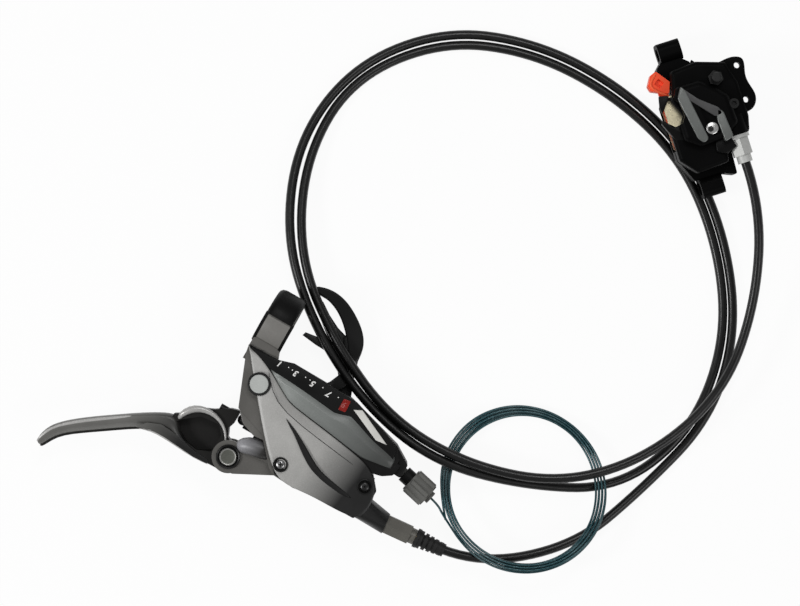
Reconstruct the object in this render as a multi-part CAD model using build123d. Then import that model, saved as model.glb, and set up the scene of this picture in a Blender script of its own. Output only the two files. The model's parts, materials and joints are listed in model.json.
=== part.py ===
from build123d import *
import math
import os

# Right-hand hydraulic disc brake with its shift lever unit, hose and caliper, in millimetres.
# Origin at the centre of the handlebar clamp, X outboard along the bar, Y forward, Z up.

FLOOR = -26.0            # the surface that the set lies on
FIT = 0.05               # running clearance on a radius
GAP = 0.3                # clearance between parts that pass each other

# Handlebar clamp
CLAMP_R = 11.15
CLAMP_WALL = 4.3
CLAMP_WIDTH = 15.0
CLAMP_SLIT = 2.0
CLAMP_BOLT_Y = 20.0
CLAMP_BOLT_R = 2.5

# Master cylinder, its outlet and the brake lever's pivot
CYL_Y, CYL_Z = 53.5, -8.0
CYL_BORE_R = 5.5
CYL_WALL = 2.5
CYL_MOUTH_X, CYL_DEPTH = -21.7, 58.0
PISTON_REST = 5.0        # piston face, from the barrel's mouth
PISTON_LONG = 22.0
PIVOT_X, PIVOT_Y = -12.1, 73.5
PIVOT_R = 3.0
LEVER_THICK = 12.0
EAR_THICK = 4.0
EAR_R = 8.7
OUTLET_X, OUTLET_Y, OUTLET_Z = -101.7, 63.6, -12.0
OUTLET_R = 5.6
OUTLET_YAW = 185.2       # direction in which the hose leaves, from +X

# Casting and reservoir
CAST_Z0, CAST_Z1 = -1.0, 10.0
TRAY_WALL = 3.2
TRAY_DEPTH = 7.5
COVER_THICK = 3.6
DIAPHRAGM_THICK = 1.0
BLEED_X, BLEED_Y, BLEED_R = -7.5, 31.8, 4.8
SCREW_SPOTS = [(-38.0, 62.6), (-81.7, 50.7)]
SCREW_HEAD_R = 2.6

# Shift lever unit
HOUSING_Z0, HOUSING_Z1 = -22.4, 8.0
HOUSING_WALL = 1.8
COVER2_THICK = 4.0
AXLE_X, AXLE_Y, AXLE_R = -50.0, 25.4, 3.0
DRUM_R, DRUM_Z0, DRUM_Z1 = 8.0, -14.2, -7.8
WHEEL_R, WHEEL_THICK, GEARS = 8.1, 2.0, 9
WHEEL_STEP = 10.0        # degrees of drum for one gear
CABLE_R = 0.6
WRAP_R = 7.2             # radius at which the cable lies on the drum
NEEDLE_TRAVEL = 39.0
STRIP_X, STRIP_Y = -51.3, 19.0
LEVER_PLATE = 2.4
PADDLE_Z0, PADDLE_Z1 = -25.0, -17.3
RELEASE_X, RELEASE_Y, RELEASE_Z0, RELEASE_THICK = -33.7, 22.0, -17.1, 1.4
PAWL_X, PAWL_Y, PIN_R = -63.4, 30.4, 1.5
ADJUST_YAW = 167.2
ADJUST_X, ADJUST_Y, ADJUST_Z = -96.6, 35.7, -11.0

# Hose and the coil of shift cable
HOSE_R = 2.5
BOOT_LENGTH = 33.8
COIL_R, COIL_TUBE_R = 43.2, 2.6
COIL_X, COIL_Y, COIL_Z, COIL_TILT = -155.5, 11.4, -14.4, 11.4

# Caliper, in its own axes: x along the line between the mounting ears, y away from the wheel's hub
CAL_X, CAL_Y, CAL_Z, CAL_YAW = -134.75, -203.0, -0.7, 137.7
CAL_HALF = 20.0
EAR_SPACING = 74.0
EAR_SLOT_W, EAR_SLOT_L = 6.6, 11.0
EAR_WIDTH, EAR_LOW, EAR_HIGH = 11.0, -20.0, -2.0
EAR_FACE_Y, EAR_SEAT_Y = -7.5, 4.6
PISTON_R, PISTON_Y = 10.5, 5.5
CROWN = 3.0              # metal behind the piston bore
PISTON_BACK = 0.95       # room behind the piston at rest
BODY_SHARE = 0.62        # height of the body beside the piston, as a share of the half width
SEAL_Z = 10.0
SLOT_HALF = 1.7
SPACER_THICK = 2.2
LINING_GAP = 0.45
LINING_THICK, PLATE_THICK = 4.0, 1.9
PAD_AXLE_Y, PAD_AXLE_R = 20.0, 1.5
NUT_Y, NUT_Z = 17.2, 9.0

CAST_OUTLINE = [
    (7.3, 10.5), (7.5, 17.4), (6.8, 21.3), (-4.2, 48.3), (-11, 50.5), (-21.7, 54), (-33.7, 67.5), (-37.7, 69.5),
    (-49.4, 70.2), (-61.3, 68.4), (-84.7, 68.2), (-88.2, 62), (-88.2, 50), (-82.7, 43.5), (-72.3, 38.8),
    (-30, 33.4), (-23.3, 31.8), (-12.9, 24.5), (-7.3, 10.5),
]
COVER_OUTLINE = [
    (6.9, 17.8), (-10, 38.3), (-22.9, 53.3), (-37.6, 69.2), (-49.4, 69.8), (-61.3, 68), (-84.3, 67.8),
    (-87.7, 61.5), (-87.7, 50), (-82.3, 43.9), (-72.3, 39.3), (-29.9, 33.9), (-23.1, 32.3), (-7.2, 22), (-0.7, 15.5),
]
HOUSING_OUTLINE = [
    (-13.3, 16.2), (-17.2, 14.8), (-53, 15.2), (-86.2, 24.4), (-95.7, 30.2), (-95.5, 38), (-88.2, 37.6),
    (-72.4, 38.5), (-30.1, 33.1), (-23.7, 31.6), (-13.3, 24.6),
]
INDICATOR_OUTLINE = [
    (-10.5, 15.9), (-16.8, 13.6), (-50.3, 14.2), (-53.1, 14.4), (-85.9, 23.6), (-89.3, 29.1), (-87.8, 37),
    (-72.3, 38.5), (-30, 33.1), (-23.4, 31.5), (-7.4, 21.4),
]
WINDOW_OUTLINE = [
    (-11.2, 16.6), (-16.8, 15), (-50.3, 15.6), (-54.2, 16.4), (-54.2, 22.6), (-47.4, 24.6), (-34.2, 24),
    (-9.7, 21.2),
]


def outline(points, corner=0.0):
    face = make_face(Polyline(*points, close=True))
    return fillet(face.vertices(), corner) if corner else face


def slab(points, z0, z1, corner=0.0):
    """A plate with the given outline between two heights."""
    return extrude(Pos(0, 0, z0) * outline(points, corner), z1 - z0)


def post(x, y, r, z0, z1):
    return Pos(x, y, z0) * Cylinder(r, z1 - z0, align=(Align.CENTER, Align.CENTER, Align.MIN))


def rod(yaw, x, y, z, r, a, b):
    """A round bar from distance a to distance b along the horizontal direction yaw, from the point x, y, z."""
    turn = Pos(x, y, z) * Rot(0, 0, yaw) * Rot(0, 90, 0)
    return turn * Pos(0, 0, a) * Cylinder(r, b - a, align=(Align.CENTER, Align.CENTER, Align.MIN))


def hex_rod(yaw, x, y, z, flats, a, b, sides=6):
    turn = Pos(x, y, z) * Rot(0, 0, yaw) * Rot(0, 90, 0)
    return turn * Pos(0, 0, a) * extrude(RegularPolygon(flats / 2, sides, major_radius=False), b - a)


def hex_socket(x, y, flats, z0, z1):
    return Pos(x, y, z0) * extrude(RegularPolygon(flats / 2, 6, major_radius=False), z1 - z0)


def cross_recess(x, y, z, size, depth):
    """The cross-shaped driver recess of a screw head whose top is at z."""
    bar = Box(2 * size, size * 0.45, depth, align=(Align.CENTER, Align.CENTER, Align.MAX))
    return Pos(x, y, z) * (bar + Rot(0, 0, 90) * bar)


def soften(solid, edges, radius):
    """Round edges, with a smaller radius where the first does not fit."""
    for r in (radius, radius * 0.6, radius * 0.3):
        try:
            rounded = fillet(edges, r)
            if rounded.is_valid:
                return rounded
        except Exception:
            pass
    return solid


def top_edges(solid, z):
    return solid.edges().filter_by(lambda e: abs(e.bounding_box().min.Z - z) < 1e-3
                                   and abs(e.bounding_box().max.Z - z) < 1e-3)


def save(name, shape):
    solids = shape.solids() if hasattr(shape, "solids") else [shape]
    export_step(Compound(children=list(solids)) if len(solids) > 1 else solids[0], f"parts/{name}.step")


# Bracket: clamp ring, master cylinder barrel, reservoir tray and fork ears in one casting
def bracket():
    body = slab(CAST_OUTLINE, CAST_Z0, CAST_Z1, 1.2)
    body = soften(body, top_edges(body, CAST_Z0), 1.5)
    ring_r = CLAMP_R + CLAMP_WALL
    ring = rod(0, 0, 0, 0, ring_r, -CLAMP_WIDTH / 2, CLAMP_WIDTH / 2)
    ring = soften(ring, ring.edges().filter_by(GeomType.CIRCLE), 1.2)
    body += ring
    body += Pos(0, CLAMP_BOLT_Y - 4, -7.5) * Box(CLAMP_WIDTH, 18, 9)
    body -= Pos(0, CLAMP_BOLT_Y, -3.5) * Box(CLAMP_WIDTH + 2, 2 * (CLAMP_BOLT_Y - 9), CLAMP_SLIT)
    body -= post(0, CLAMP_BOLT_Y, CLAMP_BOLT_R + 0.25, -20, -3)
    body -= post(0, CLAMP_BOLT_Y, CLAMP_BOLT_R, -4, 6.2)
    body -= rod(0, 0, 0, 0, CLAMP_R, -CLAMP_WIDTH, CLAMP_WIDTH)

    barrel_r = CYL_BORE_R + CYL_WALL
    body += rod(180, CYL_MOUTH_X, CYL_Y, CYL_Z, barrel_r, 0, CYL_DEPTH + 5)
    body += outlet_shoulder()
    body += fork_ears()

    tray = extrude(Pos(0, 0, CAST_Z1 - TRAY_DEPTH) * offset(outline(CAST_OUTLINE), -TRAY_WALL), TRAY_DEPTH + 1)
    tray = tray & (Pos(-55.7, 55, 6) * Box(50, 60, 30))
    for x, y in SCREW_SPOTS:
        tray -= post(x, y, 4.4, -5, 20)
    body -= tray
    for x, y in SCREW_SPOTS:
        body -= post(x, y, 1.25, CAST_Z1 - 6, CAST_Z1 + 1)
    body -= post(BLEED_X, BLEED_Y, BLEED_R - 1.2, CAST_Z1 - 5, CAST_Z1 + 1)

    body -= rod(180, CYL_MOUTH_X, CYL_Y, CYL_Z, CYL_BORE_R, -1, CYL_DEPTH)
    body -= post(CYL_MOUTH_X - 33, CYL_Y, 0.6, CYL_Z, CAST_Z1)
    body -= rod(OUTLET_YAW, OUTLET_X, OUTLET_Y, OUTLET_Z, 4.0, -12, 1)
    body -= rod(OUTLET_YAW, OUTLET_X, OUTLET_Y, OUTLET_Z, 1.2, -26, -11)
    body -= slab(INDICATOR_OUTLINE, HOUSING_Z1 - 0.1, CAST_Z1 + 2)
    body -= extrude(Pos(0, 0, HOUSING_Z0) * offset(outline(HOUSING_OUTLINE), 0.1), HOUSING_Z1 - HOUSING_Z0)
    return body


def outlet_shoulder():
    """The body's end, drawn down from the reservoir to the round outlet."""
    start = Plane(origin=(CYL_MOUTH_X - CYL_DEPTH, 61, -3.5), x_dir=(0, 1, 0), z_dir=(-1, 0, 0)) * RectangleRounded(14.2, 24, 4)
    yaw = math.radians(OUTLET_YAW)
    end = Plane(origin=(OUTLET_X, OUTLET_Y, OUTLET_Z), x_dir=(math.sin(-yaw), math.cos(yaw), 0),
                z_dir=(math.cos(yaw), math.sin(yaw), 0)) * Circle(OUTLET_R)
    return loft([start, end])


def fork_ears():
    """Two ears that carry the lever's pivot, with the web that joins them to the barrel."""
    ear = [(-39.7, 69), (-39.7, 60), (-27.7, 60), (-16.7, 64.5), (-12.1, 66), (-12.1, 81), (-18.4, 80.2)]
    half = LEVER_THICK / 2 + 0.4
    ears = None
    for low in (CYL_Z + half, CYL_Z - half - EAR_THICK):
        one = slab(ear, low, low + EAR_THICK) + post(PIVOT_X, PIVOT_Y, EAR_R, low, low + EAR_THICK)
        ears = one if ears is None else ears + one
    top = CYL_Z + half + EAR_THICK
    ears += Pos(-32.7, 63, CYL_Z) * Box(14, 13.5, 2 * (half + EAR_THICK))
    ears += rod(0, -33.7, 63.8, top - 1.6, 3.4, 0, 17)
    ears -= post(PIVOT_X, PIVOT_Y, PIVOT_R + FIT, FLOOR, top + 1)
    ears -= post(PIVOT_X, PIVOT_Y, 6.3, top - 1, top + 4)
    return ears


def clamp_bolt():
    head_z = -12.0
    bolt = post(0, CLAMP_BOLT_Y, 4.2, head_z - 4, head_z) + post(0, CLAMP_BOLT_Y, CLAMP_BOLT_R, head_z, 5.5)
    return bolt - hex_socket(0, CLAMP_BOLT_Y, 4, head_z - 4, head_z - 1.6)


# Reservoir
def reservoir_cover():
    z = CAST_Z1 + DIAPHRAGM_THICK
    cover = slab(COVER_OUTLINE, z, z + COVER_THICK, 1.0)
    cover = soften(cover, top_edges(cover, z + COVER_THICK), 1.6)
    for x, y in SCREW_SPOTS:
        cover -= post(x, y, 3.84, z + 1.4, z + 10) + post(x, y, 1.6, z - 1, z + 2)
    cover -= post(BLEED_X, BLEED_Y, BLEED_R + 1.25, z + 2.2, z + 10)
    cover -= post(BLEED_X, BLEED_Y, BLEED_R - 1.2, z - 1, z + 10)
    groove = Spline((-28.6, 41), (-39.9, 49), (-52.1, 55.3), (-62, 57.8))
    cut = Pos(0, 0, z + COVER_THICK - 0.9) * groove
    cover -= sweep(Plane(origin=cut @ 0, z_dir=cut % 0) * Circle(1.0), path=cut)
    return cover


def reservoir_diaphragm():
    z = CAST_Z1
    sheet = extrude(Pos(0, 0, z) * offset(outline(COVER_OUTLINE), -0.4), DIAPHRAGM_THICK)
    for x, y in SCREW_SPOTS:
        sheet -= post(x, y, 1.6, z - 1, z + 3)
    sheet -= post(BLEED_X, BLEED_Y, BLEED_R - 1.2, z - 1, z + 3)
    return sheet - slab(INDICATOR_OUTLINE, z - 1, z + 3)


def bleed_screw():
    z = CAST_Z1 + DIAPHRAGM_THICK + 2.2
    head = post(BLEED_X, BLEED_Y, BLEED_R, z + 0.8, z + 2.2)
    head = soften(head, top_edges(head, z + 2.2), 0.4)
    return head + post(BLEED_X, BLEED_Y, BLEED_R - 1.3, z - 7, z + 1)


def bleed_screw_seal():
    z = CAST_Z1 + DIAPHRAGM_THICK + 2.2
    return post(BLEED_X, BLEED_Y, BLEED_R, z, z + 0.8) - post(BLEED_X, BLEED_Y, BLEED_R - 1.3, z - 1, z + 2)


def cover_screws():
    z = CAST_Z1 + DIAPHRAGM_THICK + 1.4
    screws = []
    for x, y in SCREW_SPOTS:
        screw = post(x, y, SCREW_HEAD_R, z, z + 1.9) + post(x, y, 1.2, z - 7, z)
        screws.append(screw - cross_recess(x, y, z + 2, 1.7, 1.2))
    return Compound(children=screws)


# Brake lever
def lever_blade():
    half = LEVER_THICK / 2
    upper = Spline((79.7, 115.6), (77.9, 107.2), (62.9, 93.1), (41.1, 78.1), (20.7, 66.4))
    edge = Polyline((20.7, 66.4), (17.2, 60.7), (7.1, 56.1), (-0.7, 51.2), (-5.7, 49.8), (-5.7, 57.4), (-4.7, 60.5),
                    (-6.7, 65), (-19.9, 70), (-20.6, 75.5), (-18.2, 80.2), (-13.3, 82), (3.6, 82.6))
    lower = Spline((3.6, 82.6), (25.6, 80.9), (39.4, 85.4), (65.1, 102.9), (74.7, 113.5), (76.7, 117.6))
    tip = ThreePointArc((76.7, 117.6), (78.9, 117.9), (79.7, 115.6))
    blade = extrude(Pos(0, 0, CYL_Z - half) * make_face(upper + edge + lower + tip), LEVER_THICK)
    side = [(-20, -half), (20, -half), (50, -half * 0.9), (86, -half * 0.72),
            (86, half * 0.72), (50, half * 0.9), (20, half), (-20, half)]
    profile = make_face(Plane.XZ * Polyline(*side, close=True))
    blade &= Pos(0, 130, CYL_Z) * extrude(profile, 100)
    blade = soften(blade, blade.edges().filter_by(lambda e: e.center().X > 22
                                                  and abs(abs(e.center().Z - CYL_Z) - half) < 2.2), 1.8)
    pocket = [(18.3, 68.5), (10.8, 62.6), (0.8, 61.5), (-3.2, 66), (-2.9, 76), (4.3, 79), (16.3, 77.5), (26.3, 77)]
    blade -= slab(pocket, CYL_Z + half - 6.5, CYL_Z + half + 1, 1.5)
    blade -= post(PIVOT_X, PIVOT_Y, PIVOT_R + 1.0, FLOOR, 10)
    blade -= rod(0, CYL_MOUTH_X + 16, CYL_Y, CYL_Z, 2.0, -2, 12)
    return blade


def pivot_bush():
    half = LEVER_THICK / 2
    bush = post(PIVOT_X, PIVOT_Y, PIVOT_R + 1.0, CYL_Z - half, CYL_Z + half)
    return bush - post(PIVOT_X, PIVOT_Y, PIVOT_R + FIT, CYL_Z - half - 1, CYL_Z + half + 1)


def pivot_bolt():
    top = CYL_Z + LEVER_THICK / 2 + 0.4 + EAR_THICK - 1
    low = CYL_Z - LEVER_THICK / 2 - 0.4 - EAR_THICK
    head = post(PIVOT_X, PIVOT_Y, 4.2, top, top + 2.6)
    head = soften(head, top_edges(head, top + 2.6), 0.6)
    bolt = head + post(PIVOT_X, PIVOT_Y, PIVOT_R, low, top)
    return bolt - hex_socket(PIVOT_X, PIVOT_Y, 4, top + 0.8, top + 4)


def reach_screw():
    """Grub screw in the lever's arm, on the push rod's line."""
    start = CYL_MOUTH_X + 16.1
    return rod(0, start, CYL_Y, CYL_Z, 2.0, 0, 10.5) - rod(0, start, CYL_Y, CYL_Z, 0.9, 8, 11)


# Master cylinder
def cylinder_rod(r, a, b):
    """A round bar on the master cylinder's axis, with distances into the bore from its mouth."""
    return rod(180, CYL_MOUTH_X, CYL_Y, CYL_Z, r, a, b)


def push_rod():
    nose = Pos(CYL_MOUTH_X + 12.7, CYL_Y, CYL_Z) * Sphere(3.0)
    return nose + cylinder_rod(4.0, -11, 2) + cylinder_rod(2.2, -13, PISTON_REST)


def master_piston():
    piston = cylinder_rod(CYL_BORE_R - FIT, PISTON_REST, PISTON_REST + PISTON_LONG)
    for a in (PISTON_REST + 3, PISTON_REST + 17):
        piston -= cylinder_rod(CYL_BORE_R + 1, a, a + 2) - cylinder_rod(4, a, a + 2)
    return piston


def cup(a):
    a += PISTON_REST
    return cylinder_rod(CYL_BORE_R - 0.02, a, a + 2) - cylinder_rod(4, a - 1, a + 3)


def master_spring():
    """Return spring between the piston and the bottom of the bore."""
    a = PISTON_REST + PISTON_LONG
    wire, coils = 0.45, 7
    height = CYL_DEPTH - a - 2 * wire
    helix = Helix(height / coils, height, 4.2)
    coil = sweep(Plane(origin=helix @ 0, z_dir=helix % 0) * Circle(wire), path=helix)
    return Pos(CYL_MOUTH_X - a - wire, CYL_Y, CYL_Z) * Rot(0, -90, 0) * coil


def retaining_ring():
    return cylinder_rod(CYL_BORE_R, 2.5, 3.5) - cylinder_rod(4.6, 2, 4)


def dust_boot():
    boot = cylinder_rod(6.5, -2.2, 0) + cylinder_rod(5.6, -3.6, -2.2)
    return boot - cylinder_rod(4.6, -5, 1)


# Shift lever unit
def shift_housing():
    shell = slab(HOUSING_OUTLINE, HOUSING_Z0, HOUSING_Z1, 1.0)
    inside = offset(outline(HOUSING_OUTLINE), -HOUSING_WALL)
    shell -= extrude(Pos(0, 0, HOUSING_Z0 - 1) * inside, HOUSING_Z1 - HOUSING_Z0 - 1)
    shell -= Pos(AXLE_X + 12, 16, (HOUSING_Z0 - 18.6) / 2) * Box(38, 12, -18.6 - HOUSING_Z0 + 0.6)
    shell -= Pos(RELEASE_X + 1, 16, -16.4) * Box(24, 12, 2.6)
    shell -= rod(ADJUST_YAW, ADJUST_X, ADJUST_Y, ADJUST_Z, 3.0, -8, 8)
    shell -= needle_slot(HOUSING_Z1 - 3, HOUSING_Z1 + 1)
    shell -= post(AXLE_X, AXLE_Y, AXLE_R, HOUSING_Z1 - 3, HOUSING_Z1 - 0.8)
    return shell


def needle_slot(z0, z1):
    """The slot along the scale in which the needle's stem travels."""
    length = NEEDLE_TRAVEL + 2.8
    middle = Pos(STRIP_X + NEEDLE_TRAVEL / 2, STRIP_Y, z0)
    return middle * Box(length, 1.8, z1 - z0, align=(Align.CENTER, Align.CENTER, Align.MIN))


def indicator_cover():
    z = HOUSING_Z1
    cover = slab(INDICATOR_OUTLINE, z, z + COVER2_THICK, 1.0)
    cover = soften(cover, top_edges(cover, z + COVER2_THICK), 1.0)
    cover -= slab(WINDOW_OUTLINE, z + COVER2_THICK - 1.5, z + 10, 0.6)
    return cover - needle_slot(z - 1, z + 5)


def gear_scale():
    z = HOUSING_Z1 + COVER2_THICK - 1.5
    plate = slab(WINDOW_OUTLINE, z, z + 0.6, 0.6)
    plate &= extrude(Pos(0, 0, z - 1) * offset(outline(WINDOW_OUTLINE), -0.1), 4)
    return plate - needle_slot(z - 1, z + 2)


def gear_needle():
    z = HOUSING_Z1 + COVER2_THICK - 0.85
    flag = Pos(STRIP_X, STRIP_Y, z) * Box(2.4, 4.0, 0.7, align=(Align.CENTER, Align.CENTER, Align.MIN))
    return flag + Pos(STRIP_X, STRIP_Y, z) * Box(2.0, 1.2, 6.2, align=(Align.CENTER, Align.CENTER, Align.MAX))


def bottom_cover():
    base = slab(HOUSING_OUTLINE, FLOOR, HOUSING_Z0, 1.0)
    base = soften(base, top_edges(base, FLOOR), 0.8)
    base -= post(AXLE_X, AXLE_Y, AXLE_R + FIT, FLOOR - 1, 0)
    return base - post(AXLE_X, AXLE_Y, 5.2, FLOOR - 1, FLOOR + 1.8)


def ratchet_axle():
    axle = post(AXLE_X, AXLE_Y, AXLE_R, FLOOR + 0.3, HOUSING_Z1 - 1.0) + post(AXLE_X, AXLE_Y, 5.0, FLOOR + 0.3, FLOOR + 1.8)
    return axle - hex_socket(AXLE_X, AXLE_Y, 3, FLOOR, FLOOR + 1.5)


def axle_nut():
    return hex_socket(AXLE_X, AXLE_Y, 9, 2.2, 5.6) - post(AXLE_X, AXLE_Y, AXLE_R, 0, 7)


def index_wheel():
    """Ratchet wheel with one rounded-root tooth for each gear."""
    z = DRUM_Z0 - WHEEL_THICK - 0.2
    wheel = post(AXLE_X, AXLE_Y, WHEEL_R, z, z + WHEEL_THICK)
    for n in range(GEARS + 1):
        a = math.radians(100 + n * WHEEL_STEP * 1.6)
        tip = Pos(AXLE_X + WHEEL_R * math.cos(a), AXLE_Y + WHEEL_R * math.sin(a), z - 1)
        wheel -= tip * Rot(0, 0, math.degrees(a) + 25) * Box(2.0, 1.6, 6)
    return wheel - post(AXLE_X, AXLE_Y, AXLE_R + FIT, z - 1, z + 5)


def cable_drum():
    drum = post(AXLE_X, AXLE_Y, DRUM_R, DRUM_Z0 - 0.2, DRUM_Z1)
    groove = Pos(AXLE_X, AXLE_Y, ADJUST_Z) * Torus(WRAP_R, CABLE_R + GAP)
    mouth = post(AXLE_X, AXLE_Y, DRUM_R + 1, ADJUST_Z - CABLE_R - GAP, ADJUST_Z + CABLE_R + GAP)
    groove += mouth - post(AXLE_X, AXLE_Y, WRAP_R, ADJUST_Z - 2, ADJUST_Z + 2)
    drum -= groove
    drum -= post(AXLE_X + DRUM_R - 3.2, AXLE_Y, 1.7, ADJUST_Z - 1.8, DRUM_Z1 + 1)
    return drum - post(AXLE_X, AXLE_Y, AXLE_R + FIT, DRUM_Z0 - 1, 0)


def cable_nipple():
    return post(AXLE_X + DRUM_R - 3.2, AXLE_Y, 1.7, ADJUST_Z - 1.8, DRUM_Z1 - 0.5)


def drum_spring():
    """Flat spiral spring between drum and housing."""
    turns = 3.5
    pts = [(AXLE_X + (4.2 + 3.8 * t / 28) * math.cos(2 * math.pi * turns * t / 28),
            AXLE_Y + (4.2 + 3.8 * t / 28) * math.sin(2 * math.pi * turns * t / 28)) for t in range(29)]
    line = Spline(*pts)
    strip = Plane(origin=line @ 0, z_dir=line % 0, x_dir=(0, 0, 1)) * Rectangle(3.0, 0.4)
    return Pos(0, 0, DRUM_Z1 + 1.6) * sweep(strip, path=line)


def hold_pawl():
    z = DRUM_Z0 - WHEEL_THICK - 0.2
    x, y = PAWL_X, PAWL_Y
    arm = slab([(x - 2.3, y - 1.5), (x, y - 2.6), (x + 4.6, y - 4), (x + 5, y - 2.8), (x + 1.2, y + 2.4),
                (x - 2.3, y + 2)], z, z + WHEEL_THICK, 0.4)
    return arm - post(PAWL_X, PAWL_Y, PIN_R + FIT, z - 1, z + 4)


def pawl_pin():
    return post(PAWL_X, PAWL_Y, PIN_R, HOUSING_Z0, -12.4)


def main_lever():
    z = PADDLE_Z0 + 2.8
    arm = slab([(-45, 24), (-41, 6), (-39.7, -5), (-41.7, -16), (-45.7, -4), (-49.5, 8), (-55, 22)], z, z + LEVER_PLATE)
    arm += post(AXLE_X, AXLE_Y, 7.0, z, z + LEVER_PLATE)
    outer = Spline((-45.5, -3.9), (-43.2, -14), (-33.7, -23), (-20.7, -28.6), (-8.2, -27.2))
    end = ThreePointArc((-8.2, -27.2), (-6.9, -25), (-8.9, -23.4))
    inner = Spline((-8.9, -23.4), (-19.7, -22.2), (-31.4, -14.2), (-38.9, -4.6))
    foot = Line((-38.9, -4.6), (-45.5, -3.9))
    paddle = extrude(Pos(0, 0, PADDLE_Z0) * make_face(outer + end + inner + foot), PADDLE_Z1 - PADDLE_Z0)
    paddle = soften(paddle, paddle.edges().filter_by(lambda e: e.length > 12), 1.0)
    return arm + paddle - post(AXLE_X, AXLE_Y, AXLE_R + FIT, FLOOR, 0)


def release_lever():
    z = RELEASE_Z0
    arm = slab([(-37.7, 20), (-27.7, -1.6), (-23.7, -3.6), (-14.2, -2.6), (-13.5, -0.6), (-22.2, 0.8), (-29.7, 20)],
               z, z + RELEASE_THICK, 0.6)
    arm += post(RELEASE_X, RELEASE_Y, 4.4, z, z + RELEASE_THICK)
    return arm - post(RELEASE_X, RELEASE_Y, PIN_R + FIT, z - 1, z + 5)


def release_pin():
    return post(RELEASE_X, RELEASE_Y, PIN_R, HOUSING_Z0, HOUSING_Z1 - 2)


# Barrel adjuster and the shift cable
def barrel_adjuster():
    a = (ADJUST_YAW, ADJUST_X, ADJUST_Y, ADJUST_Z)
    knob = rod(*a, 6.4, 5, 17.5)
    for n in range(6):
        wing = Pos(ADJUST_X, ADJUST_Y, ADJUST_Z) * Rot(0, 0, ADJUST_YAW) * Rot(0, 90, 0) * Rot(0, 0, n * 60)
        knob += wing * Pos(6.4, 0, 5.8) * Cylinder(1.5, 11, align=(Align.CENTER, Align.CENTER, Align.MIN))
    knob += rod(*a, 3.4, 17.5, 19.4) + rod(*a, 3.0 - FIT, -4, 5)
    return knob - rod(*a, CABLE_R + 0.3, -6, 22)


def adjuster_spring():
    a = (ADJUST_YAW, ADJUST_X, ADJUST_Y, ADJUST_Z)
    return rod(*a, 4.4, 0.2, 4.9) - rod(*a, 3.4, -1, 6)


def drum_cable():
    """Shift cable from the drum to the mouth of the barrel adjuster."""
    yaw = math.radians(ADJUST_YAW)
    y = AXLE_Y + WRAP_R
    bend = ADJUST_X + (y - ADJUST_Y) / math.tan(yaw)
    mouth = (ADJUST_X + 19.4 * math.cos(yaw), ADJUST_Y + 19.4 * math.sin(yaw), ADJUST_Z)
    path = FilletPolyline((AXLE_X, y, ADJUST_Z), (bend, y, ADJUST_Z), mouth, radius=20)
    return sweep(Plane(origin=path @ 0, z_dir=path % 0) * Circle(CABLE_R), path=path)


# Hose fittings at the lever: nut, olive, insert and rubber boot along the outlet's direction
OUTLET = (OUTLET_YAW, OUTLET_X, OUTLET_Y, OUTLET_Z)


def lever_hose_nut():
    sleeve = hex_rod(*OUTLET, 9.6, 0, 14) + rod(*OUTLET, 3.9, -8, 0) + rod(*OUTLET, 4.2, 14, 17)
    return sleeve - rod(*OUTLET, HOSE_R + 0.1, -9, 20)


def olive():
    return rod(*OUTLET, 3.6, -10.5, -8.2) - rod(*OUTLET, 2.0, -11, -8)


def connector_insert():
    return rod(*OUTLET, 2.0, -11.5, 22) - rod(*OUTLET, 0.8, -12, 23)


def hose_boot():
    """Ribbed rubber boot, tapering to the hose."""
    boot = rod(*OUTLET, 5.2, 17.2, 19)
    for n, r in enumerate((4.9, 4.6, 4.3, 4.0, 3.7)):
        boot += rod(*OUTLET, r, 19 + n * 2.9, 20.8 + n * 2.9)
    boot += rod(*OUTLET, 3.5, 17.2, BOOT_LENGTH)
    return boot - rod(*OUTLET, HOSE_R, BOOT_LENGTH - 6, 40) - rod(*OUTLET, 2.0, 10, 40)


# Hose: leaves the lever, lies in two loops and rises to the caliper
def caliper_point(x, y, z):
    yaw = math.radians(CAL_YAW)
    return (CAL_X + x * math.cos(yaw) - y * math.sin(yaw), CAL_Y + x * math.sin(yaw) + y * math.cos(yaw), CAL_Z + z)


def outlet_point(a):
    yaw = math.radians(OUTLET_YAW)
    return (OUTLET_X + a * math.cos(yaw), OUTLET_Y + a * math.sin(yaw), OUTLET_Z)


LOW = FLOOR + HOSE_R
HOSE_ROUTE = [
    outlet_point(BOOT_LENGTH - 6), outlet_point(48), (-179.7, 42.5, -16), (-202.7, 6.5, -22.5), (-217.7, -36, LOW),
    (-220.7, -78, LOW), (-213.7, -116, LOW), (-186.4, -147.4, LOW), (-146.2, -179.2, LOW), (-93.7, -201.6, LOW), (-24.7, -194, LOW),
    (29.7, -150.4, LOW), (39.3, -76, -20), (2.3, -20, -13.6), (-48.2, 11, -13.4), (-107.7, 19.5, -10.4),
    (-166.7, 6, -20), (-208.7, -45, LOW), (-204.7, -103, LOW), (-179.4, -144.3, LOW), (-142.2, -172.8, LOW), (-93.7, -195, LOW),
    (-27.2, -187.5, LOW), (23.8, -147, LOW), (32.8, -78.5, -20), (-2.7, -25.5, -13.4), (-50.2, 4.3, -13.2),
    (-106.7, 13, -10.4), (-161.7, 0, -10.2), (-202.7, -41, -10.0), (-218.2, -92, -10.2), (-213.7, -138, -6),
    (-196.2, -165, 3), caliper_point(50, NUT_Y, NUT_Z), caliper_point(31, NUT_Y, NUT_Z),
]


def corner_radii(route):
    radii = []
    for p, q, r in zip(route, route[1:], route[2:]):
        a, b = Vector(*q) - Vector(*p), Vector(*r) - Vector(*q)
        half = math.radians(a.get_angle(b)) / 2
        radii.append(0.45 * min(a.length, b.length) / math.tan(half))
    return radii


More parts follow.
